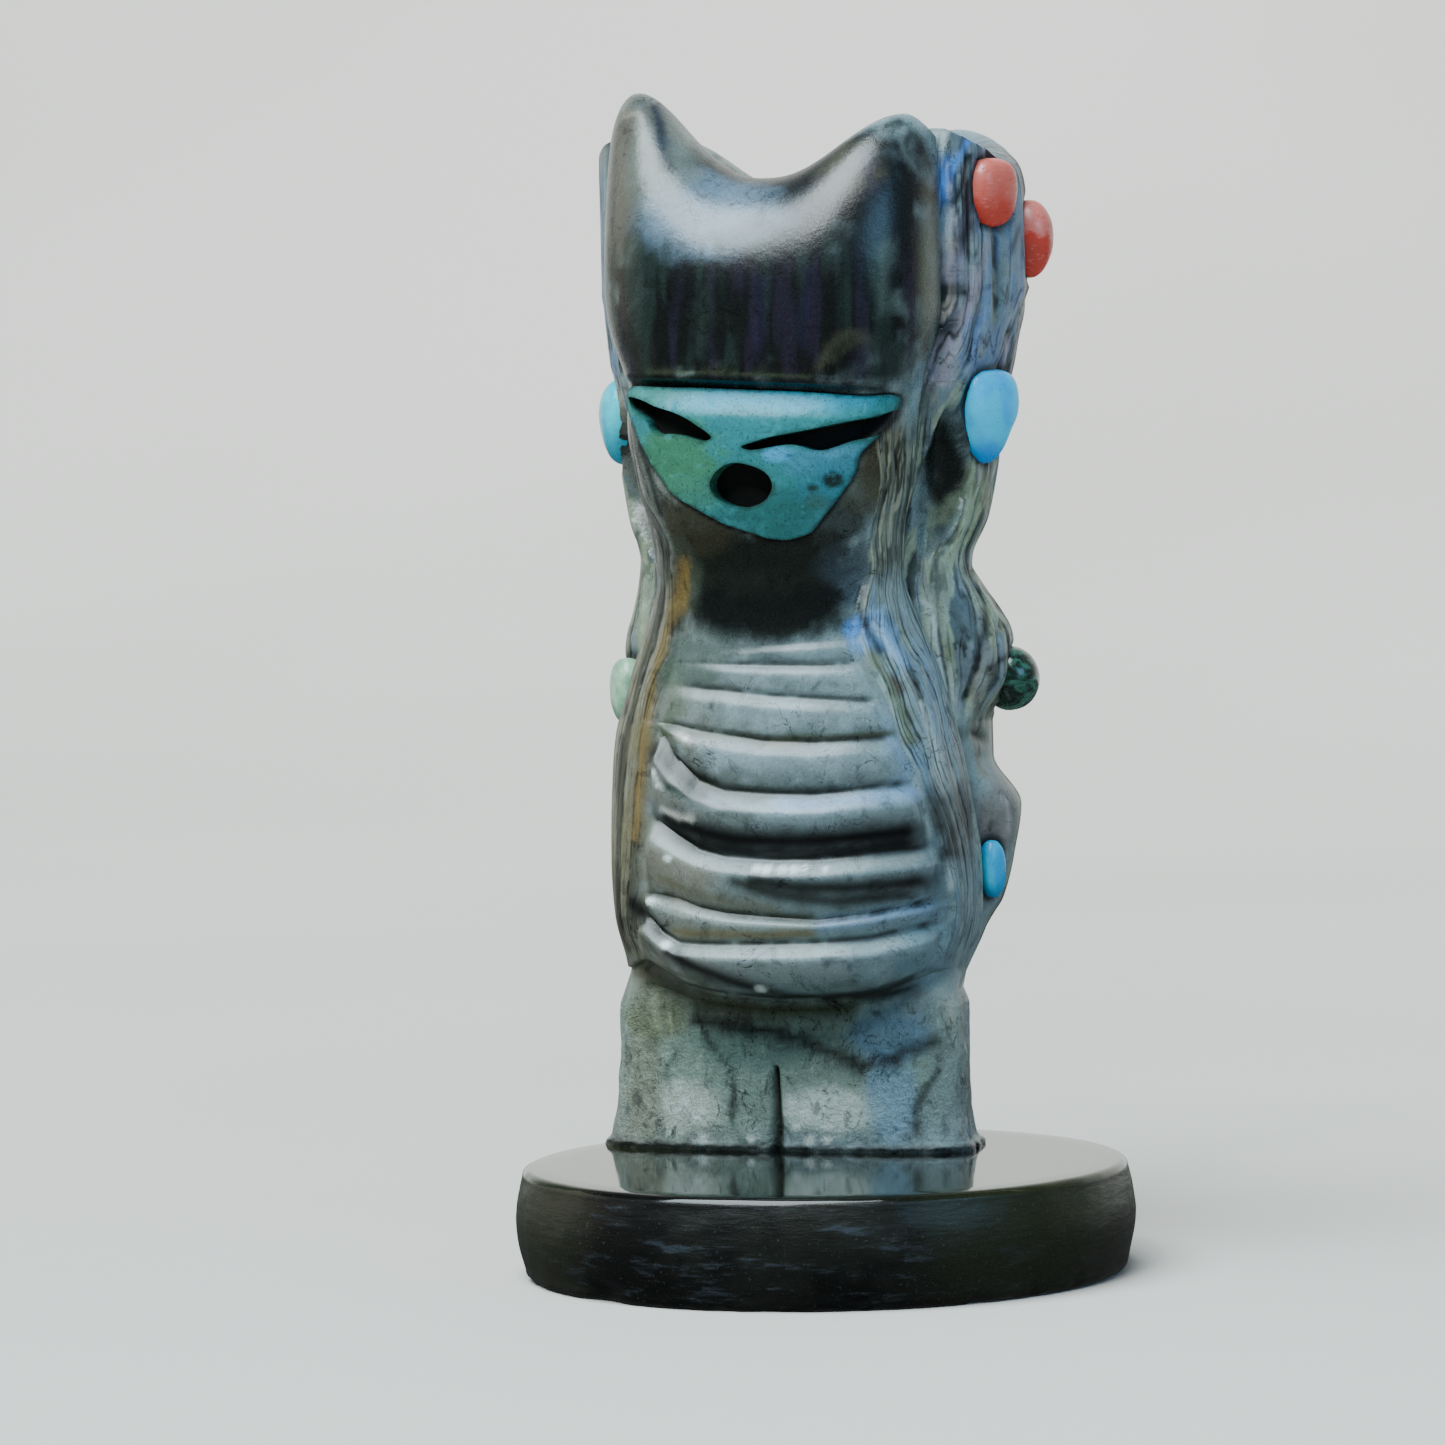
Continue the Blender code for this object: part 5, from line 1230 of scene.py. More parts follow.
# Painted shade in the creases and in the notch between the feet
tones = paint(tones, 0.8 * crease_lines, "#1a1f20")
tones = paint(tones, 0.9 * notch, "#1f1812")
tones = paint(tones, 0.85 * smooth(0.30, 0.0, skin[..., 2] + 0.2 * small_cloud), "#11150f")
print("veins:", sum(len(veins) for veins in VEINS.values()), " painted glints:", len(PAINTED_GLINTS))

# %% [markdown]
# ## From rows to a mesh
#
# The skin starts as Blender's own grid, with one vertex for each point of the rows. Its vertices are moved
# to their carved places, the seam along the middle of the front and the groove on the crown are merged, and
# the open sole is filled.

# %% Helpers for meshes
def only(piece):
    """Select one object alone and make it the active one."""
    bpy.ops.object.select_all(action="DESELECT")
    piece.select_set(True)
    bpy.context.view_layer.objects.active = piece


def points_of(piece):
    """The places of a piece's vertices in metres, one row for each."""
    flat = np.empty(len(piece.data.vertices) * 3)
    piece.data.vertices.foreach_get("co", flat)
    return flat.reshape(-1, 3)


def move_points(piece, points):
    """Put a piece's vertices in new places."""
    piece.data.vertices.foreach_set("co", points.ravel())
    piece.data.update()


def add_attribute(piece, name, values, kind="FLOAT"):
    """Store one number or one colour for each vertex of a piece."""
    attribute = piece.data.attributes.new(name, kind, "POINT")
    if kind == "FLOAT_COLOR":
        values = np.concatenate([values, np.ones((len(values), 1))], axis=1)
        attribute.data.foreach_set("color", values.astype(np.float32).ravel())
    else:
        attribute.data.foreach_set("value", values.astype(np.float32).ravel())


def stands_for(piece, node):
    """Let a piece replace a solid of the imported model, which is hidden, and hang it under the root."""
    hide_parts(node)
    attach(piece, "root")


# %% [markdown]
# Each vertex of the grid needs the row and the column that it stands for. Both are read back from where the
# grid put it, so the order in which Blender numbers the vertices doesn't matter.

# %% Wrap the grid
row_count = skin.shape[0]
bpy.ops.mesh.primitive_grid_add(x_subdivisions=COLUMNS, y_subdivisions=row_count - 1, size=2.0)
figure = bpy.context.object
figure.name = "carved_figure"
flat = points_of(figure)
grid_column = np.rint((flat[:, 0] + 1.0) / 2.0 * COLUMNS).astype(int) % COLUMNS
grid_row = np.rint((flat[:, 1] + 1.0) / 2.0 * (row_count - 1)).astype(int)
move_points(figure, (skin[grid_row, grid_column] + FIGURE_AT) * MM)

# Numbers that the material reads: how far across the strands, how much hair, and how well polished
foot = smooth(8.8, 8.3, skin[..., 2]) * smooth(-0.4, 0.5, skin[..., 2])
on_folds = smooth(30.5, 28.5, skin[..., 2]) * smooth(7.0, 9.0, skin[..., 2])
above_brow = smooth(43.0, 46.0, skin[..., 2])
polish = (1.0 - 0.45 * hair - 0.12 * above_brow - 0.40 * on_folds * (1.0 - hair)) * (1.0 - in_bed)
add_attribute(figure, "tone", tones[grid_row, grid_column], "FLOAT_COLOR")
numbers = dict(strand=strand_lines, hair=hair, polish=polish, seam=seam, foot=foot, bed=in_bed)
for name, values in numbers.items():
    add_attribute(figure, name, values[grid_row, grid_column])

only(figure)
bpy.ops.object.mode_set(mode="EDIT")
bpy.ops.mesh.select_all(action="SELECT")
bpy.ops.mesh.remove_doubles(threshold=0.000004)
bpy.ops.mesh.select_all(action="DESELECT")
bpy.ops.mesh.select_non_manifold()
bpy.ops.mesh.edge_face_add()
bpy.ops.mesh.select_all(action="SELECT")
bpy.ops.mesh.normals_make_consistent(inside=False)
bpy.ops.object.mode_set(mode="OBJECT")
bpy.ops.object.transform_apply(location=True, rotation=True, scale=True)
bpy.ops.object.shade_smooth_by_angle(angle=math.radians(60.0))
stands_for(figure, "stone_figure")
figure.data.calc_loop_triangles()
print("figure triangles:", len(figure.data.loop_triangles))

# %% [markdown]
# ## The turquoise mask
#
# The real mask is sawn from a thin piece of turquoise and ground to the curve of the head. Here a slab of
# small squares is cut to the outline with Booleans, which keeps its edge and the eye slits crisp, then its
# sharp edges are eased with a bevel. Last, each of its points is moved back so that the slab lies on the
# curved face, a hair's breadth proud of the marble. Its bed is nearly as deep as the slab is thick, so the
# eyes and the mouth are real openings with a dark floor.

# %% Cut the mask
MASK_THICKNESS = 1.3
MASK_PROUD = 0.08
MASK_EDGE = 0.10
# The sheet that the mask is cut from: its middle as x and height, its size, and its squares each way
MASK_MIDDLE = (0.4, 40.1)
MASK_SHEET = (18.0, 10.2)
MASK_SQUARES = (120, 68)
# How far the cutting tools reach, in y
TOOL_NEAR, TOOL_FAR = -2.0, 4.0


def prism(name, outline, near, far):
    """A closed outline in x and height, pushed through from near to far along y."""
    corners = [(px * MM, near * MM, pz * MM) for px, pz in outline]
    mesh = bpy.data.meshes.new(name)
    mesh.from_pydata(corners, [], [tuple(range(len(corners)))])
    tool = bpy.data.objects.new(name, mesh)
    bpy.context.scene.collection.objects.link(tool)
    only(tool)
    bpy.ops.object.mode_set(mode="EDIT")
    bpy.ops.mesh.select_all(action="SELECT")
    bpy.ops.mesh.extrude_region_move(TRANSFORM_OT_translate={"value": (0.0, (far - near) * MM, 0.0)})
    bpy.ops.mesh.select_all(action="SELECT")
    bpy.ops.mesh.normals_make_consistent(inside=False)
    bpy.ops.object.mode_set(mode="OBJECT")
    return tool


def cut_with(piece, tool, operation):
    """Apply a Boolean to a piece and remove the tool."""
    step = piece.modifiers.new(operation.lower(), "BOOLEAN")
    step.operation = operation
    step.solver = "EXACT"
    step.object = tool
    only(piece)
    bpy.ops.object.modifier_apply(modifier=step.name)
    bpy.data.objects.remove(tool, do_unlink=True)


bpy.ops.object.select_all(action="DESELECT")
bpy.ops.mesh.primitive_grid_add(x_subdivisions=MASK_SQUARES[0], y_subdivisions=MASK_SQUARES[1], size=1.0)
mask = bpy.context.object
mask.name = "carved_mask"
bpy.ops.object.mode_set(mode="EDIT")
bpy.ops.transform.resize(value=(MASK_SHEET[0] * MM, MASK_SHEET[1] * MM, 1.0))
bpy.ops.transform.rotate(value=-math.pi / 2.0, orient_axis="X", center_override=(0.0, 0.0, 0.0))
bpy.ops.transform.translate(value=(MASK_MIDDLE[0] * MM, 0.0, MASK_MIDDLE[1] * MM))
bpy.ops.mesh.extrude_region_move(TRANSFORM_OT_translate={"value": (0.0, MASK_THICKNESS * MM, 0.0)})
bpy.ops.mesh.select_all(action="SELECT")
bpy.ops.mesh.normals_make_consistent(inside=False)
bpy.ops.object.mode_set(mode="OBJECT")
cut_with(mask, prism("mask_blank", mask_curve, TOOL_NEAR, TOOL_FAR), "INTERSECT")
for name, outline in (("right_eye", RIGHT_EYE), ("left_eye", LEFT_EYE), ("mouth", MOUTH)):
    cut_with(mask, prism(name, rounded(outline, 3), TOOL_NEAR, TOOL_FAR), "DIFFERENCE")

ease = mask.modifiers.new("eased_edges", "BEVEL")
ease.width = MASK_EDGE * MM
ease.segments = 3
ease.limit_method = "ANGLE"
ease.angle_limit = math.radians(50.0)
only(mask)
bpy.ops.object.modifier_apply(modifier=ease.name)

# %% [markdown]
# The cut slab is still flat. Each of its points now moves back by the depth of the face at that place. Small
# waves and nicks are added, because turquoise is rubbed down by hand.

# %% Lay the mask on the face
def face_y(x, z):
    """y of the front maiden's plain face at x and height z."""
    level = z - crease_tilt(x, z)
    width, groove_y, front_y, squareness = (along(FRONT, number, level) for number in (1, 2, 3, 4))
    return groove_y + (front_y - groove_y) * superellipse(x / width, squareness)


points = points_of(mask) / MM
mask_x, mask_z = points[:, 0].copy(), points[:, 2].copy()
flat_mask = np.stack([mask_x, np.zeros_like(mask_x), mask_z], axis=-1)
waves = grain(flat_mask, 1.6, 51.0)
nicks = np.clip(grain(flat_mask, 0.7, 53.0) - 0.25, 0.0, None)
points[:, 1] += face_y(mask_x, mask_z) - MASK_PROUD + 0.035 * waves + 0.12 * nicks
mask_points = points.copy()
move_points(mask, (points + FIGURE_AT) * MM)
print("mask faces:", len(mask.data.polygons))

# %% [markdown]
# The mask is coloured in the same way as the marble: soft patches first, and then a darker line along its
# edge and round its openings.

# %% Paint the mask
mask_cloud = grain(mask_points, 2.0, 55.0)
mask_specks = grain(mask_points, 0.6, 58.0, octaves=4)
ragged = 0.30 * mask_cloud + 0.28 * mask_specks
mask_tones = np.broadcast_to(linear("#3f9c9c"), mask_points.shape).copy()
MASK_AREAS = (
    ("brow", "#1fb6d2", (2.6, -6.5, 43.6), (6.6, 3.0, 0.75), 0.9),
    ("brow, left end", "#56a08e", (-6.3, -5.5, 44.1), (2.4, 3.0, 1.0), 0.8),
    ("right of the nose", "#3f9aa0", (0.5, -6.5, 42.0), (2.4, 3.0, 1.2), 0.6),
    ("left cheek", "#5a9a70", (-3.8, -6.4, 40.2), (3.0, 3.0, 2.3), 0.95),
    ("jaw, left", "#5c9a7c", (-3.0, -6.2, 38.3), (2.2, 3.0, 1.0), 0.7),
    ("below the right eye", "#58a9c0", (5.0, -6.0, 40.2), (2.6, 3.0, 1.0), 0.85),
    ("bright patch", "#5cc4f0", (2.5, -6.4, 40.5), (0.75, 3.0, 0.5), 0.95),
    ("bright edge", "#74c2dc", (5.8, -5.9, 40.7), (1.6, 3.0, 0.4), 0.7),
    ("chin", "#2f8480", (2.2, -6.0, 37.2), (3.2, 3.0, 1.6), 0.85),
    ("right cheek", "#3e93a8", (5.0, -5.6, 38.4), (1.6, 3.0, 1.2), 0.6),
    ("edge of the chin", "#4f9fa8", (4.6, -5.6, 36.8), (0.6, 3.0, 1.2), 0.5),
    ("matrix", "#23352e", (5.35, -5.7, 38.95), (0.52, 1.0, 0.42), 0.95),
    ("small matrix", "#2c443c", (4.35, -6.1, 38.5), (0.36, 1.0, 0.26), 0.9),
    ("stain", "#4f6a4c", (4.4, -6.0, 37.7), (0.7, 1.0, 0.7), 0.5),
    ("stain by the mouth", "#5d6a50", (1.8, -6.3, 38.9), (0.6, 1.0, 0.9), 0.55),
    ("line in the patch", "#2a6f8c", (3.2, -6.2, 40.4), (0.26, 1.0, 0.07), 0.8),
)
for name, code, at, half, strength in MASK_AREAS:
    mask_tones = paint(mask_tones, strength * patch(mask_points, at, half, ragged), code)
mask_edge = depth_inside(mask_x, mask_z, mask_curve)
mask_tones = paint(mask_tones, 0.75 * smooth(0.16, 0.0, mask_edge + 0.12 * mask_specks), "#22403a")
for outline in (RIGHT_EYE, LEFT_EYE, MOUTH):
    rim = -depth_inside(mask_x, mask_z, rounded(outline, 3))
    mask_tones = paint(mask_tones, 0.6 * smooth(0.22, 0.0, rim + 0.10 * mask_specks), "#33503c")
add_attribute(mask, "tone", mask_tones, "FLOAT_COLOR")
only(mask)
bpy.ops.object.shade_smooth_by_angle(angle=math.radians(40.0))
stands_for(mask, "turquoise_mask")

# %% [markdown]
# ## The set stones
#
# Each stone is a small oval dome. A sphere is drawn out to squarer shoulders where the stone has them, made
# slimmer towards its foot and stretched to the stone's three half sizes. Its surface is given the faint
# unevenness of a stone that was shaped by hand.

# %% Make the stones
UNEVENNESS = 0.022


def set_stone(node, at, half, turn, taper, square, seed):
    """One polished stone, in its place in the figure."""
    bpy.ops.object.select_all(action="DESELECT")
    bpy.ops.mesh.primitive_uv_sphere_add(segments=64, ring_count=40, radius=1.0)
    stone = bpy.context.object
    stone.name = node + "_polished"
    points = points_of(stone)
    power = power_at(points[:, 2], square)[:, None]
    points /= (np.abs(points) ** power).sum(axis=1, keepdims=True) ** (1.0 / power)
    points[:, :2] *= narrowing(points[:, 2:], taper)
    points *= (1.0 + UNEVENNESS * grain(points, 0.9, seed))[:, None] * np.array(half)
    angle = math.radians(-turn)
    turned_x = points[:, 0] * math.cos(angle) - points[:, 1] * math.sin(angle)
    turned_y = points[:, 0] * math.sin(angle) + points[:, 1] * math.cos(angle)
    turned = np.stack([turned_x, turned_y, points[:, 2]], axis=-1)
    move_points(stone, (turned + np.array(at) + FIGURE_AT) * MM)
    add_attribute(stone, "height", points[:, 2] / half[2])
    only(stone)
    bpy.ops.object.shade_smooth()
    return stone


set_stones = {name: set_stone(name, seed=61.0 + number * 3.0, **sizes)
              for number, (name, sizes) in enumerate(STONES.items())}
for name, stone in set_stones.items():
    stands_for(stone, name)
print("set stones:", len(set_stones))

# %% [markdown]
# ## The round slab
#
# The base is a disc cut from black stone, ground flat, polished, and eased at its edges. It is turned from
# a profile: half of its section is drawn as a line of points and spun about the upright axis. The saw
# left small chips along the lower edge, so the points there are moved inwards by an uneven amount.

# %% Turn the slab
SLAB_EDGE = 0.5
SLAB_FOOT_EDGE = 0.7
SLAB_BULGE = 0.4
SPIN_STEPS = 240
EDGE_STEPS = 6
SIDE_STEPS = 20
FOOT_STEPS = 8
CHIP_DEPTH = 0.55

profile = [(0.0, SLAB_TOP), (6.0, SLAB_TOP), (12.0, SLAB_TOP), (15.5, SLAB_TOP)]
corner_x = SLAB_RADIUS - SLAB_BULGE - SLAB_EDGE
for number in range(EDGE_STEPS + 1):
    angle = math.radians(90.0 - 90.0 * number / EDGE_STEPS)
    profile.append((corner_x + SLAB_EDGE * math.cos(angle), SLAB_TOP - SLAB_EDGE * (1.0 - math.sin(angle))))
for number in range(1, SIDE_STEPS):
    share = number / SIDE_STEPS
    side_z = SLAB_TOP - SLAB_EDGE - (SLAB_TOP - SLAB_EDGE - SLAB_FOOT_EDGE) * share
    profile.append((SLAB_RADIUS - SLAB_BULGE + SLAB_BULGE * math.sin(math.pi * share), side_z))
corner_x = SLAB_RADIUS - SLAB_BULGE - SLAB_FOOT_EDGE
for number in range(FOOT_STEPS + 1):
    angle = math.radians(-90.0 * number / FOOT_STEPS)
    profile.append((corner_x + SLAB_FOOT_EDGE * math.cos(angle), SLAB_FOOT_EDGE * (1.0 + math.sin(angle))))
profile += [(12.0, 0.0), (0.0, 0.0)]
slab_mesh = bpy.data.meshes.new("black_slab")
slab_mesh.from_pydata([(px * MM, 0.0, pz * MM) for px, pz in profile],
                      [(number, number + 1) for number in range(len(profile) - 1)], [])
slab = bpy.data.objects.new("black_slab", slab_mesh)
bpy.context.scene.collection.objects.link(slab)
only(slab)
bpy.ops.object.mode_set(mode="EDIT")
bpy.ops.mesh.select_all(action="SELECT")
bpy.ops.mesh.spin(steps=SPIN_STEPS, angle=2.0 * math.pi, center=(0.0, 0.0, 0.0), axis=(0.0, 0.0, 1.0))
bpy.ops.mesh.select_all(action="SELECT")
bpy.ops.mesh.remove_doubles(threshold=0.00001)
bpy.ops.mesh.normals_make_consistent(inside=False)
bpy.ops.object.mode_set(mode="OBJECT")

points = points_of(slab) / MM
radius = np.hypot(points[:, 0], points[:, 1])
from_front = np.degrees(np.arctan2(points[:, 0], -points[:, 1]))

# Chips along the lower edge, most of them at the front, and one larger flake at the front left
at_rim = smooth(13.0, 16.5, radius)
low_edge = smooth(1.6, 0.1, points[:, 2]) * at_rim
chips = np.clip(grain(points, 1.5, 71.0) - 0.02, 0.0, None)
inset = CHIP_DEPTH * chips * low_edge * (0.35 + 0.65 * smooth(75.0, 30.0, np.abs(from_front - 20.0)))
flake = np.exp(-((from_front + 29.0) / 5.0) ** 2) * smooth(1.5, 0.9, points[:, 2]) * at_rim
inset += CHIP_DEPTH * flake
inset += 0.10 * np.abs(grain(points, 5.0, 74.0)) * smooth(14.0, 17.0, radius)
points[:, :2] *= (1.0 - inset / np.maximum(radius, 1.0))[:, None]
move_points(slab, points * MM)
only(slab)
bpy.ops.object.shade_smooth_by_angle(angle=math.radians(50.0))
stands_for(slab, "base_slab")
print("slab faces:", len(slab.data.polygons), " deepest chip, mm:", round(inset.max(), 2))

# %% [markdown]
# ## Materials
#
# All the finishes are made with nodes. A small set of helpers keeps them readable: each one adds a node,
# links its inputs and gives back its output, so that a material reads from top to bottom like a recipe.

# %% Helpers for materials
class Recipe:
    """A material that is built up step by step."""

    def __init__(self, name, roughness, specular=0.5):
        self.material = bpy.data.materials.new(name)
        self.material.use_nodes = True
        self.nodes = self.material.node_tree.nodes
        self.links = self.material.node_tree.links
        self.shader = self.nodes["Principled BSDF"]
        self.shader.inputs["Roughness"].default_value = roughness
        self.shader.inputs["Specular IOR Level"].default_value = specular
        self.place = self.nodes.new("ShaderNodeTexCoord").outputs["Object"]

    def put(self, value, socket):
        """Link an output to a socket, or set the socket to a plain value."""
        if isinstance(value, bpy.types.NodeSocket):
            self.links.new(value, socket)
        elif hasattr(socket.default_value, "__len__") and len(socket.default_value) == 4 and len(value) == 3:
            socket.default_value = (*value, 1.0)
        else:
            socket.default_value = value

    def noise(self, per_mm, detail=3.0, roughness=0.55, warp=0.0, at=None):
        """Cloudy noise from 0 to 1, with about per_mm lumps in a millimetre."""
        node = self.nodes.new("ShaderNodeTexNoise")
        self.put(at or self.place, node.inputs["Vector"])
        node.inputs["Scale"].default_value = per_mm / MM
        node.inputs["Detail"].default_value = detail
        node.inputs["Roughness"].default_value = roughness
        node.inputs["Distortion"].default_value = warp
        return node.outputs["Fac"]

    def cells(self, per_mm, at=None, feature="F1"):
        """Distance to the nearest of many scattered points."""
        node = self.nodes.new("ShaderNodeTexVoronoi")
        node.feature = feature
        self.put(at or self.place, node.inputs["Vector"])
        node.inputs["Scale"].default_value = per_mm / MM
        return node.outputs["Distance"]

    def stretched(self, scale, turn=(0.0, 0.0, 0.0)):
        """Object coordinates with other scales along x, y and z."""
        node = self.nodes.new("ShaderNodeMapping")
        self.put(self.place, node.inputs["Vector"])
        node.inputs["Rotation"].default_value = turn
        node.inputs["Scale"].default_value = scale
        return node.outputs["Vector"]

    def span(self, value, low, high, out_low=0.0, out_high=1.0):
        """Map low..high to out_low..out_high, held at the ends and eased between them."""
        node = self.nodes.new("ShaderNodeMapRange")
        node.interpolation_type = "SMOOTHSTEP"
        names = ("Value", "From Min", "From Max", "To Min", "To Max")
        for name, item in zip(names, (value, low, high, out_low, out_high)):
            self.put(item, node.inputs[name])
        return node.outputs["Result"]

    def math(self, operation, first, second=0.0):
        """One sum on two numbers."""
        node = self.nodes.new("ShaderNodeMath")
        node.operation = operation
        self.put(first, node.inputs[0])
        self.put(second, node.inputs[1])
        return node.outputs["Value"]

    def mix(self, amount, first, second, blend="MIX"):
        """Blend one colour over another."""
        node = self.nodes.new("ShaderNodeMix")
        node.data_type = "RGBA"
        node.blend_type = blend
        self.put(amount, node.inputs[0])
        self.put(first, node.inputs[6])
        self.put(second, node.inputs[7])
        return node.outputs[2]

    def over(self, colour, pattern, low, high, strength, code, blend="MIX"):
        """Lay a colour over another, none of it where a pattern is at low and most where it is at high."""
        return self.mix(self.span(pattern, low, high, 0.0, strength), colour, linear(code), blend)

    def attribute(self, name, output="Fac"):
        """A number or a colour stored on the piece."""
        node = self.nodes.new("ShaderNodeAttribute")
        node.attribute_name = name
        return node.outputs[output]

    def bump(self, height, distance, strength=1.0, after=None):
        """Small relief, in millimetres, that bends the light but not the mesh."""
        node = self.nodes.new("ShaderNodeBump")
        node.inputs["Strength"].default_value = strength
        node.inputs["Distance"].default_value = distance * MM
        self.put(height, node.inputs["Height"])
        if after is not None:
            self.put(after, node.inputs["Normal"])
        return node.outputs["Normal"]

    def finish(self, colour, roughness=None, normal=None, coat=0.0, coat_roughness=0.1):
        """Link the results to the shader."""
        self.put(colour, self.shader.inputs["Base Color"])
        if roughness is not None:
            self.put(roughness, self.shader.inputs["Roughness"])
        if normal is not None:
            self.put(normal, self.shader.inputs["Normal"])
        self.shader.inputs["Coat Weight"].default_value = coat
        self.shader.inputs["Coat Roughness"].default_value = coat_roughness
        return self.material


def dress(piece, material):
    """Give a piece one material."""
    piece.data.materials.clear()
    piece.data.materials.append(material)


# %% [markdown]
# ### Veined marble
#
# The painted tones give the broad colours. Over them come a salt-and-pepper grain, clouds of lighter and
# darker stone, thin dark veins, and painted shade: a dark line in the valley between two strands of hair.
# The polish is uneven: high on the neck and the crown, softer on the folds and lowest in the hair. The foot
# keeps its chisel marks, and the wax on it makes them glint.

# %% Marble
def strand_marks(stone, hair):
    """Dark and pale lines along the strands, as two amounts from 0 to 1."""
    drift = stone.noise(0.5, detail=2.0, at=stone.stretched((1.0, 1.0, 0.25)))
    phase = stone.math("ADD", stone.attribute("strand"), stone.span(drift, 0.2, 0.8, -0.12, 0.12))
    breaks = stone.span(stone.noise(0.5, detail=3.0), 0.40, 0.60)
    wide_line = stone.math("MULTIPLY", stone.span(stone.math("PINGPONG", phase, 0.5), 0.12, 0.01),
                           stone.span(breaks, 0.0, 1.0, 0.35, 1.0))
    finer = stone.math("MULTIPLY", phase, 3.0)
    thin_line = stone.math("MULTIPLY", stone.span(stone.math("PINGPONG", finer, 0.5), 0.15, 0.02), breaks)
    lines = stone.math("MAXIMUM", wide_line, stone.math("MULTIPLY", thin_line, 0.7))
    dark = stone.math("MULTIPLY", lines, hair)
    offset = stone.math("ADD", stone.math("MULTIPLY", phase, 2.0), 0.5)
    pale = stone.math("MULTIPLY", stone.span(stone.math("PINGPONG", offset, 0.5), 0.14, 0.0), hair)
    return dark, stone.math("MULTIPLY", pale, stone.span(breaks, 0.9, 0.2))


# Polished stone looks deeper than its dry colour, so the painted tones are darkened a little
MARBLE_DEPTH = (0.55, 0.63, 0.61)


def veined_marble():
    """The figure's stone: painted tones, grain, veins, marks of the strands and an uneven polish."""
    stone = Recipe("veined_marble", 0.3, 0.5)
    tone = stone.mix(1.0, stone.attribute("tone", "Color"), MARBLE_DEPTH, "MULTIPLY")
    hair = stone.attribute("hair")
    polish = stone.attribute("polish")
    bed = stone.attribute("bed")
    foot = stone.attribute("foot")

    # Clouds and grain work on the tone itself, so black stone stays black
    clouds = stone.noise(0.9, detail=6.0, roughness=0.65, warp=0.6)
    colour = stone.over(tone, clouds, 0.50, 0.70, 0.50, "#d4dde0", "SOFT_LIGHT")
    colour = stone.over(colour, clouds, 0.47, 0.28, 0.60, "#5a6468", "MULTIPLY")
    grain_fine = stone.noise(7.0, detail=5.0, roughness=0.8)
    colour = stone.over(colour, grain_fine, 0.53, 0.68, 0.60, "#e8f0f4", "SOFT_LIGHT")
    colour = stone.over(colour, grain_fine, 0.46, 0.34, 0.40, "#5a6062", "MULTIPLY")
    scratches = stone.noise(2.2, detail=4.0, roughness=0.7,
                            at=stone.stretched((1.4, 1.4, 0.5), (0.2, 0.3, 0.0)))
    colour = stone.over(colour, scratches, 0.58, 0.70, 0.5, "#dde4e2", "SOFT_LIGHT")

    # Thin dark veins that wander through the whole stone, in some places only
    path = stone.noise(0.28, detail=5.0, roughness=0.6, warp=1.2)
    veins = stone.span(stone.math("ABSOLUTE", stone.math("SUBTRACT", path, 0.5)), 0.010, 0.0)
    veins = stone.math("MULTIPLY", veins, stone.span(stone.noise(0.35, detail=2.0), 0.45, 0.6))
    colour = stone.mix(stone.math("MULTIPLY", veins, 0.8), colour, linear("#2c3032"), "MULTIPLY")

    dark, pale = strand_marks(stone, hair)
    # Painted shade: the dark lines, widest in the valleys between the strands, darken the hair
    colour = stone.mix(stone.math("MULTIPLY", dark, 0.80), colour, linear("#2a3033"), "MULTIPLY")
    colour = stone.mix(stone.math("MULTIPLY", pale, 0.55), colour, linear("#e4e8e0"), "SOFT_LIGHT")

    # Chisel marks on the foot, which was then waxed: dark pits, pale bruises and many small glints
    marks = stone.noise(0.8, detail=6.0, roughness=0.72, warp=0.8, at=stone.stretched((1.6, 1.6, 0.9)))
    dark_marks = stone.math("MULTIPLY", foot, stone.span(marks, 0.46, 0.33, 0.0, 0.65))
    colour = stone.mix(dark_marks, colour, linear("#3c4438"), "MULTIPLY")
    pale_marks = stone.math("MULTIPLY", foot, stone.span(marks, 0.55, 0.70, 0.0, 0.75))
    colour = stone.mix(pale_marks, colour, linear("#eef2ee"), "SOFT_LIGHT")
    colour = stone.mix(stone.math("MULTIPLY", stone.attribute("seam"), 0.6), colour, linear("#080909"))
    colour = stone.mix(bed, colour, linear("#0b0a08"))

    roughness = stone.span(polish, 0.3, 1.0, 0.46, 0.27)
    roughness = stone.math("ADD", roughness, stone.span(grain_fine, 0.35, 0.7, -0.03, 0.07))
    roughness = stone.math("MAXIMUM", roughness, stone.math("MULTIPLY", bed, 0.9))
    roughness = stone.math("MULTIPLY", roughness, stone.span(foot, 0.0, 1.0, 1.0, 0.50))
    pits = stone.noise(2.4, detail=5.0, roughness=0.65)
    normal = stone.bump(pits, 0.07, 0.35)
    normal = stone.bump(stone.math("MULTIPLY", dark, -1.0), 0.08, 0.8, normal)
    glints = stone.noise(1.7, detail=6.0, roughness=0.75)
    normal = stone.bump(stone.math("MULTIPLY", glints, foot), 0.40, 0.9, normal)
    return stone.finish(colour, roughness, normal)


dress(figure, veined_marble())

# %% [markdown]
# ### Turquoise, coral and the other stones
#
# Turquoise is a soft, even stone with cloudy changes of colour and specks of its dark matrix. Coral has
# fine growth lines and a darker foot. The bead is a dark green stone with paler bands, as malachite has. All
# of them are polished by hand, so their gloss is a little uneven.

# %% Turquoise
MASK_DEPTH = (0.34, 0.48, 0.53)


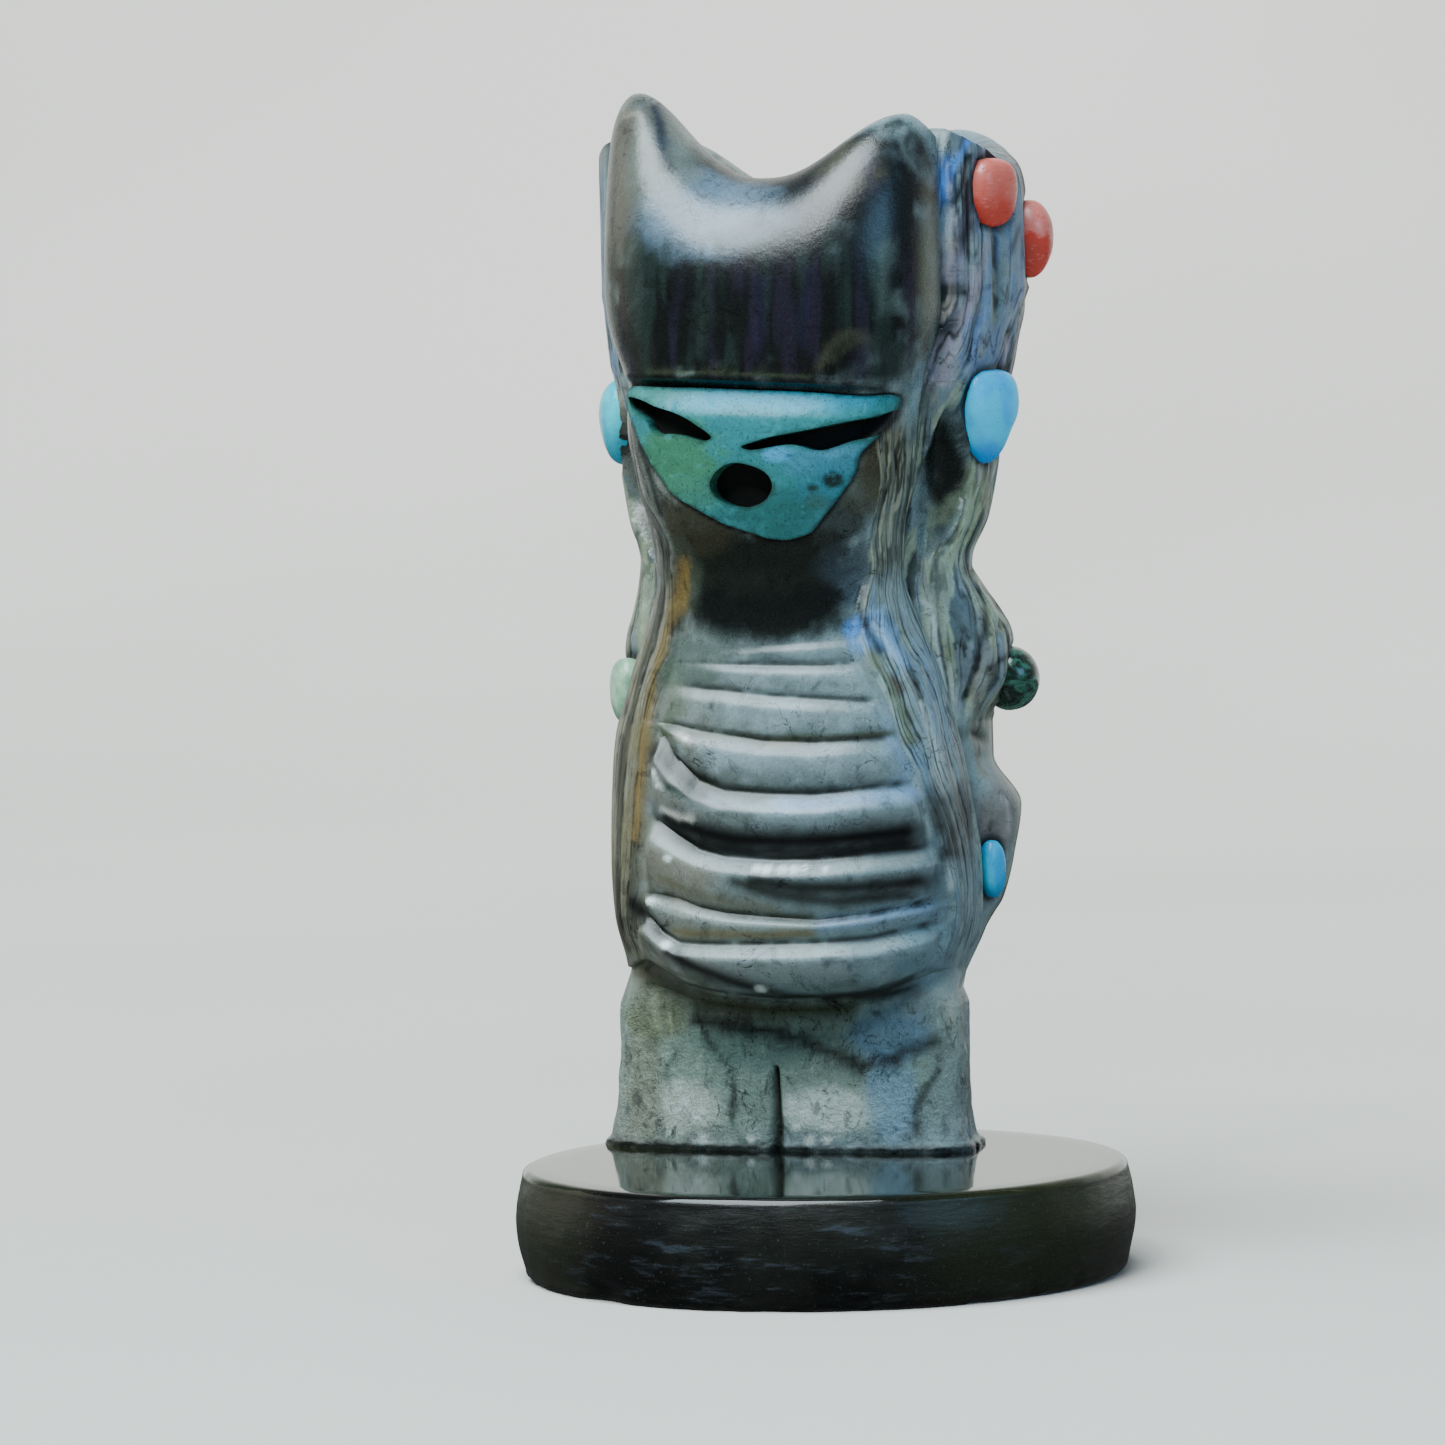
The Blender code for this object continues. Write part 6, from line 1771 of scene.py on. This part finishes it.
def mask_turquoise():
    """The mask's blue-green turquoise, waxed more than polished."""
    stone = Recipe("mask_turquoise", 0.45, 0.25)
    tone = stone.mix(1.0, stone.attribute("tone", "Color"), MASK_DEPTH, "MULTIPLY")
    clouds = stone.noise(1.1, detail=5.0, roughness=0.65, warp=0.5)
    colour = stone.over(tone, clouds, 0.54, 0.72, 0.30, "#3fa4ae")
    colour = stone.over(colour, clouds, 0.46, 0.28, 0.45, "#1a544e")
    specks = stone.noise(7.0, detail=3.0, roughness=0.7)
    colour = stone.over(colour, specks, 0.44, 0.32, 0.75, "#3f6a60", "MULTIPLY")
    colour = stone.over(colour, specks, 0.60, 0.72, 0.35, "#9fdcdc", "SOFT_LIGHT")
    path = stone.noise(0.55, detail=4.0, warp=1.0)
    web = stone.span(stone.math("ABSOLUTE", stone.math("SUBTRACT", path, 0.5)), 0.014, 0.0)
    colour = stone.mix(stone.math("MULTIPLY", web, 0.45), colour, linear("#1f4a42"))
    normal = stone.bump(stone.noise(3.0, detail=4.0), 0.05, 0.35)
    roughness = stone.span(specks, 0.3, 0.7, 0.54, 0.40)
    return stone.finish(colour, roughness, normal, coat=0.06, coat_roughness=0.2)


def sky_turquoise(name, bright, deep, dark_end):
    """Clear blue turquoise that darkens towards the foot of the stone."""
    stone = Recipe(name, 0.28, 0.2)
    clouds = stone.noise(0.45, detail=4.0, roughness=0.5)
    colour = stone.mix(stone.span(clouds, 0.38, 0.62), linear(deep), linear(bright))
    foot = stone.span(stone.attribute("height"), -0.35, -1.0, 0.0, 0.75)
    colour = stone.mix(foot, colour, linear(dark_end))
    specks = stone.noise(6.0, detail=2.0)
    colour = stone.over(colour, specks, 0.38, 0.28, 0.45, "#0a4f84")
    normal = stone.bump(stone.noise(1.6, detail=4.0), 0.04, 0.35)
    roughness = stone.span(specks, 0.3, 0.7, 0.34, 0.24)
    return stone.finish(colour, roughness, normal, coat=0.12, coat_roughness=0.1)


# %% [markdown]
# The corals are cut from different branches: the front one deepens in colour towards its lower edge, and
# the rear one is pale on top and red below, along an uneven line. Tiny pits are left of the coral's pores.

# %% Coral, bead and pale stone
def coral(name, pale, deep, low, high):
    """Coral that turns from pale to deep between two heights, where 1 is its top and -1 its foot."""
    stone = Recipe(name, 0.38)
    clouds = stone.noise(0.7, detail=4.0)
    level = stone.math("ADD", stone.attribute("height"), stone.span(clouds, 0.3, 0.7, -0.35, 0.35))
    colour = stone.mix(stone.span(level, low, high), linear(deep), linear(pale))
    growth = stone.noise(2.0, detail=3.0, at=stone.stretched((1.0, 1.0, 3.0)))
    colour = stone.over(colour, growth, 0.42, 0.3, 0.45, "#982a20")
    colour = stone.over(colour, growth, 0.58, 0.7, 0.30, "#cc8880")
    pits = stone.cells(2.4)
    colour = stone.over(colour, pits, 0.15, 0.06, 0.75, "#7c2a22")
    normal = stone.bump(stone.span(pits, 0.05, 0.18), 0.06, 0.4)
    roughness = stone.span(growth, 0.3, 0.7, 0.46, 0.32)
    return stone.finish(colour, roughness, normal, coat=0.2, coat_roughness=0.2)


def dark_green_stone():
    """Nearly black green with a few paler bands."""
    stone = Recipe("dark_green_stone", 0.22)
    bands = stone.noise(0.55, detail=4.0, warp=1.5, at=stone.stretched((1.0, 1.0, 2.0), (0.5, 0.2, 0.0)))
    colour = stone.mix(stone.span(bands, 0.42, 0.62), linear("#0d211b"), linear("#2f6152"))
    colour = stone.over(colour, bands, 0.60, 0.72, 0.5, "#5f9a88")
    flecks = stone.noise(4.0, detail=3.0)
    colour = stone.over(colour, flecks, 0.44, 0.30, 0.5, "#081210")
    normal = stone.bump(stone.noise(1.8, detail=4.0), 0.05, 0.5)
    roughness = stone.span(flecks, 0.3, 0.7, 0.30, 0.18)
    return stone.finish(colour, roughness, normal, coat=0.3, coat_roughness=0.08)


def mint_stone():
    """A pale, plain green stone."""
    stone = Recipe("mint_stone", 0.35)
    clouds = stone.noise(0.9, detail=4.0)
    colour = stone.mix(stone.span(clouds, 0.4, 0.65), linear("#6a9478"), linear("#92b498"))
    flecks = stone.noise(5.0, detail=2.0)
    colour = stone.over(colour, flecks, 0.40, 0.28, 0.4, "#4f7360")
    normal = stone.bump(stone.noise(2.4, detail=4.0), 0.04, 0.35)
    roughness = stone.span(flecks, 0.3, 0.7, 0.42, 0.30)
    return stone.finish(colour, roughness, normal, coat=0.2, coat_roughness=0.12)


dress(mask, mask_turquoise())
stone_finishes = dict(
    ear_stone_right=sky_turquoise("sky_turquoise", "#00bce8", "#00a0e2", "#0860b0"),
    ear_stone_left=sky_turquoise("green_turquoise", "#10b8c8", "#0a98b0", "#12708a"),
    hip_stone_right=sky_turquoise("pale_turquoise", "#00a8d0", "#008cc4", "#0a6494"),
    coral_front_right=coral("coral", "#b85a50", "#b83424", -0.7, 0.4),
    coral_rear_right=coral("rear_coral", "#b8625a", "#b43022", -0.15, 0.10),
    coral_rear_left=coral("left_coral", "#b4564c", "#b03426", -0.5, 0.4),
    elbow_bead_right=dark_green_stone(), elbow_stone_left=mint_stone())
for name, stone in set_stones.items():
    dress(stone, stone_finishes[name])
print("finishes of the set stones:", len(stone_finishes))

# %% [markdown]
# ### Black stone
#
# The slab is nearly black, with a trace of green and faint slanting streaks on its side, which is polished
# less well than the top. The top mirrors the feet.

# %% Black stone
def black_stone():
    """Black stone with a mirror-like top and a side that keeps the marks of the wheel."""
    stone = Recipe("black_stone", 0.12, 0.35)
    split = stone.nodes.new("ShaderNodeSeparateXYZ")
    stone.put(stone.place, split.inputs["Vector"])
    is_top = stone.span(split.outputs["Z"], (SLAB_TOP - 0.45) * MM, (SLAB_TOP - 0.15) * MM)
    sideways = stone.math("ABSOLUTE", split.outputs["X"])

    clouds = stone.noise(0.12, detail=4.0, roughness=0.6)
    colour = stone.mix(stone.span(clouds, 0.42, 0.62), linear("#060706"), linear("#121510"))
    colour = stone.mix(stone.span(sideways, 7.0 * MM, 15.0 * MM, 0.0, 0.85), colour, linear("#1c2010"))
    brushed = stone.stretched((0.28, 0.28, 1.5), (0.0, math.radians(-22.0), 0.0))
    streaks = stone.noise(0.9, detail=6.0, roughness=0.7, warp=0.2, at=brushed)
    on_side = stone.math("SUBTRACT", 1.0, is_top)
    in_middle = stone.math("MULTIPLY", on_side, stone.span(sideways, 15.0 * MM, 6.0 * MM, 0.25, 1.0))
    pale_streaks = stone.math("MULTIPLY", in_middle, stone.span(streaks, 0.54, 0.68, 0.0, 0.60))
    colour = stone.mix(pale_streaks, colour, linear("#2a3540"))
    flecks = stone.noise(5.0, detail=3.0)
    colour = stone.over(colour, flecks, 0.62, 0.74, 0.35, "#3c4648")

    side_roughness = stone.span(streaks, 0.35, 0.7, 0.34, 0.50)
    top_roughness = stone.span(clouds, 0.3, 0.7, 0.04, 0.09)
    blend = stone.nodes.new("ShaderNodeMix")
    for value, number in ((is_top, 0), (side_roughness, 2), (top_roughness, 3)):
        stone.put(value, blend.inputs[number])
    normal = stone.bump(stone.noise(1.1, detail=4.0), 0.03, 0.15)
    normal = stone.bump(stone.math("MULTIPLY", streaks, on_side), 0.10, 0.5, normal)
    return stone.finish(colour, blend.outputs[0], normal)


dress(slab, black_stone())

# %% [markdown]
# ### Paper
#
# The paper only has to be pale, plain and dull. Large, faint clouds keep it from looking like a flat fill.

# %% Paper
def pale_paper():
    """Pale grey paper without gloss."""
    paper = Recipe("pale_paper", 0.8, 0.2)
    clouds = paper.noise(0.004, detail=2.0)
    colour = paper.mix(paper.span(clouds, 0.3, 0.7), linear("#b4b1ab"), linear("#bcb9b3"))
    return paper.finish(colour)


for sheet in (sweep, paper_floor):
    dress(sheet, pale_paper())
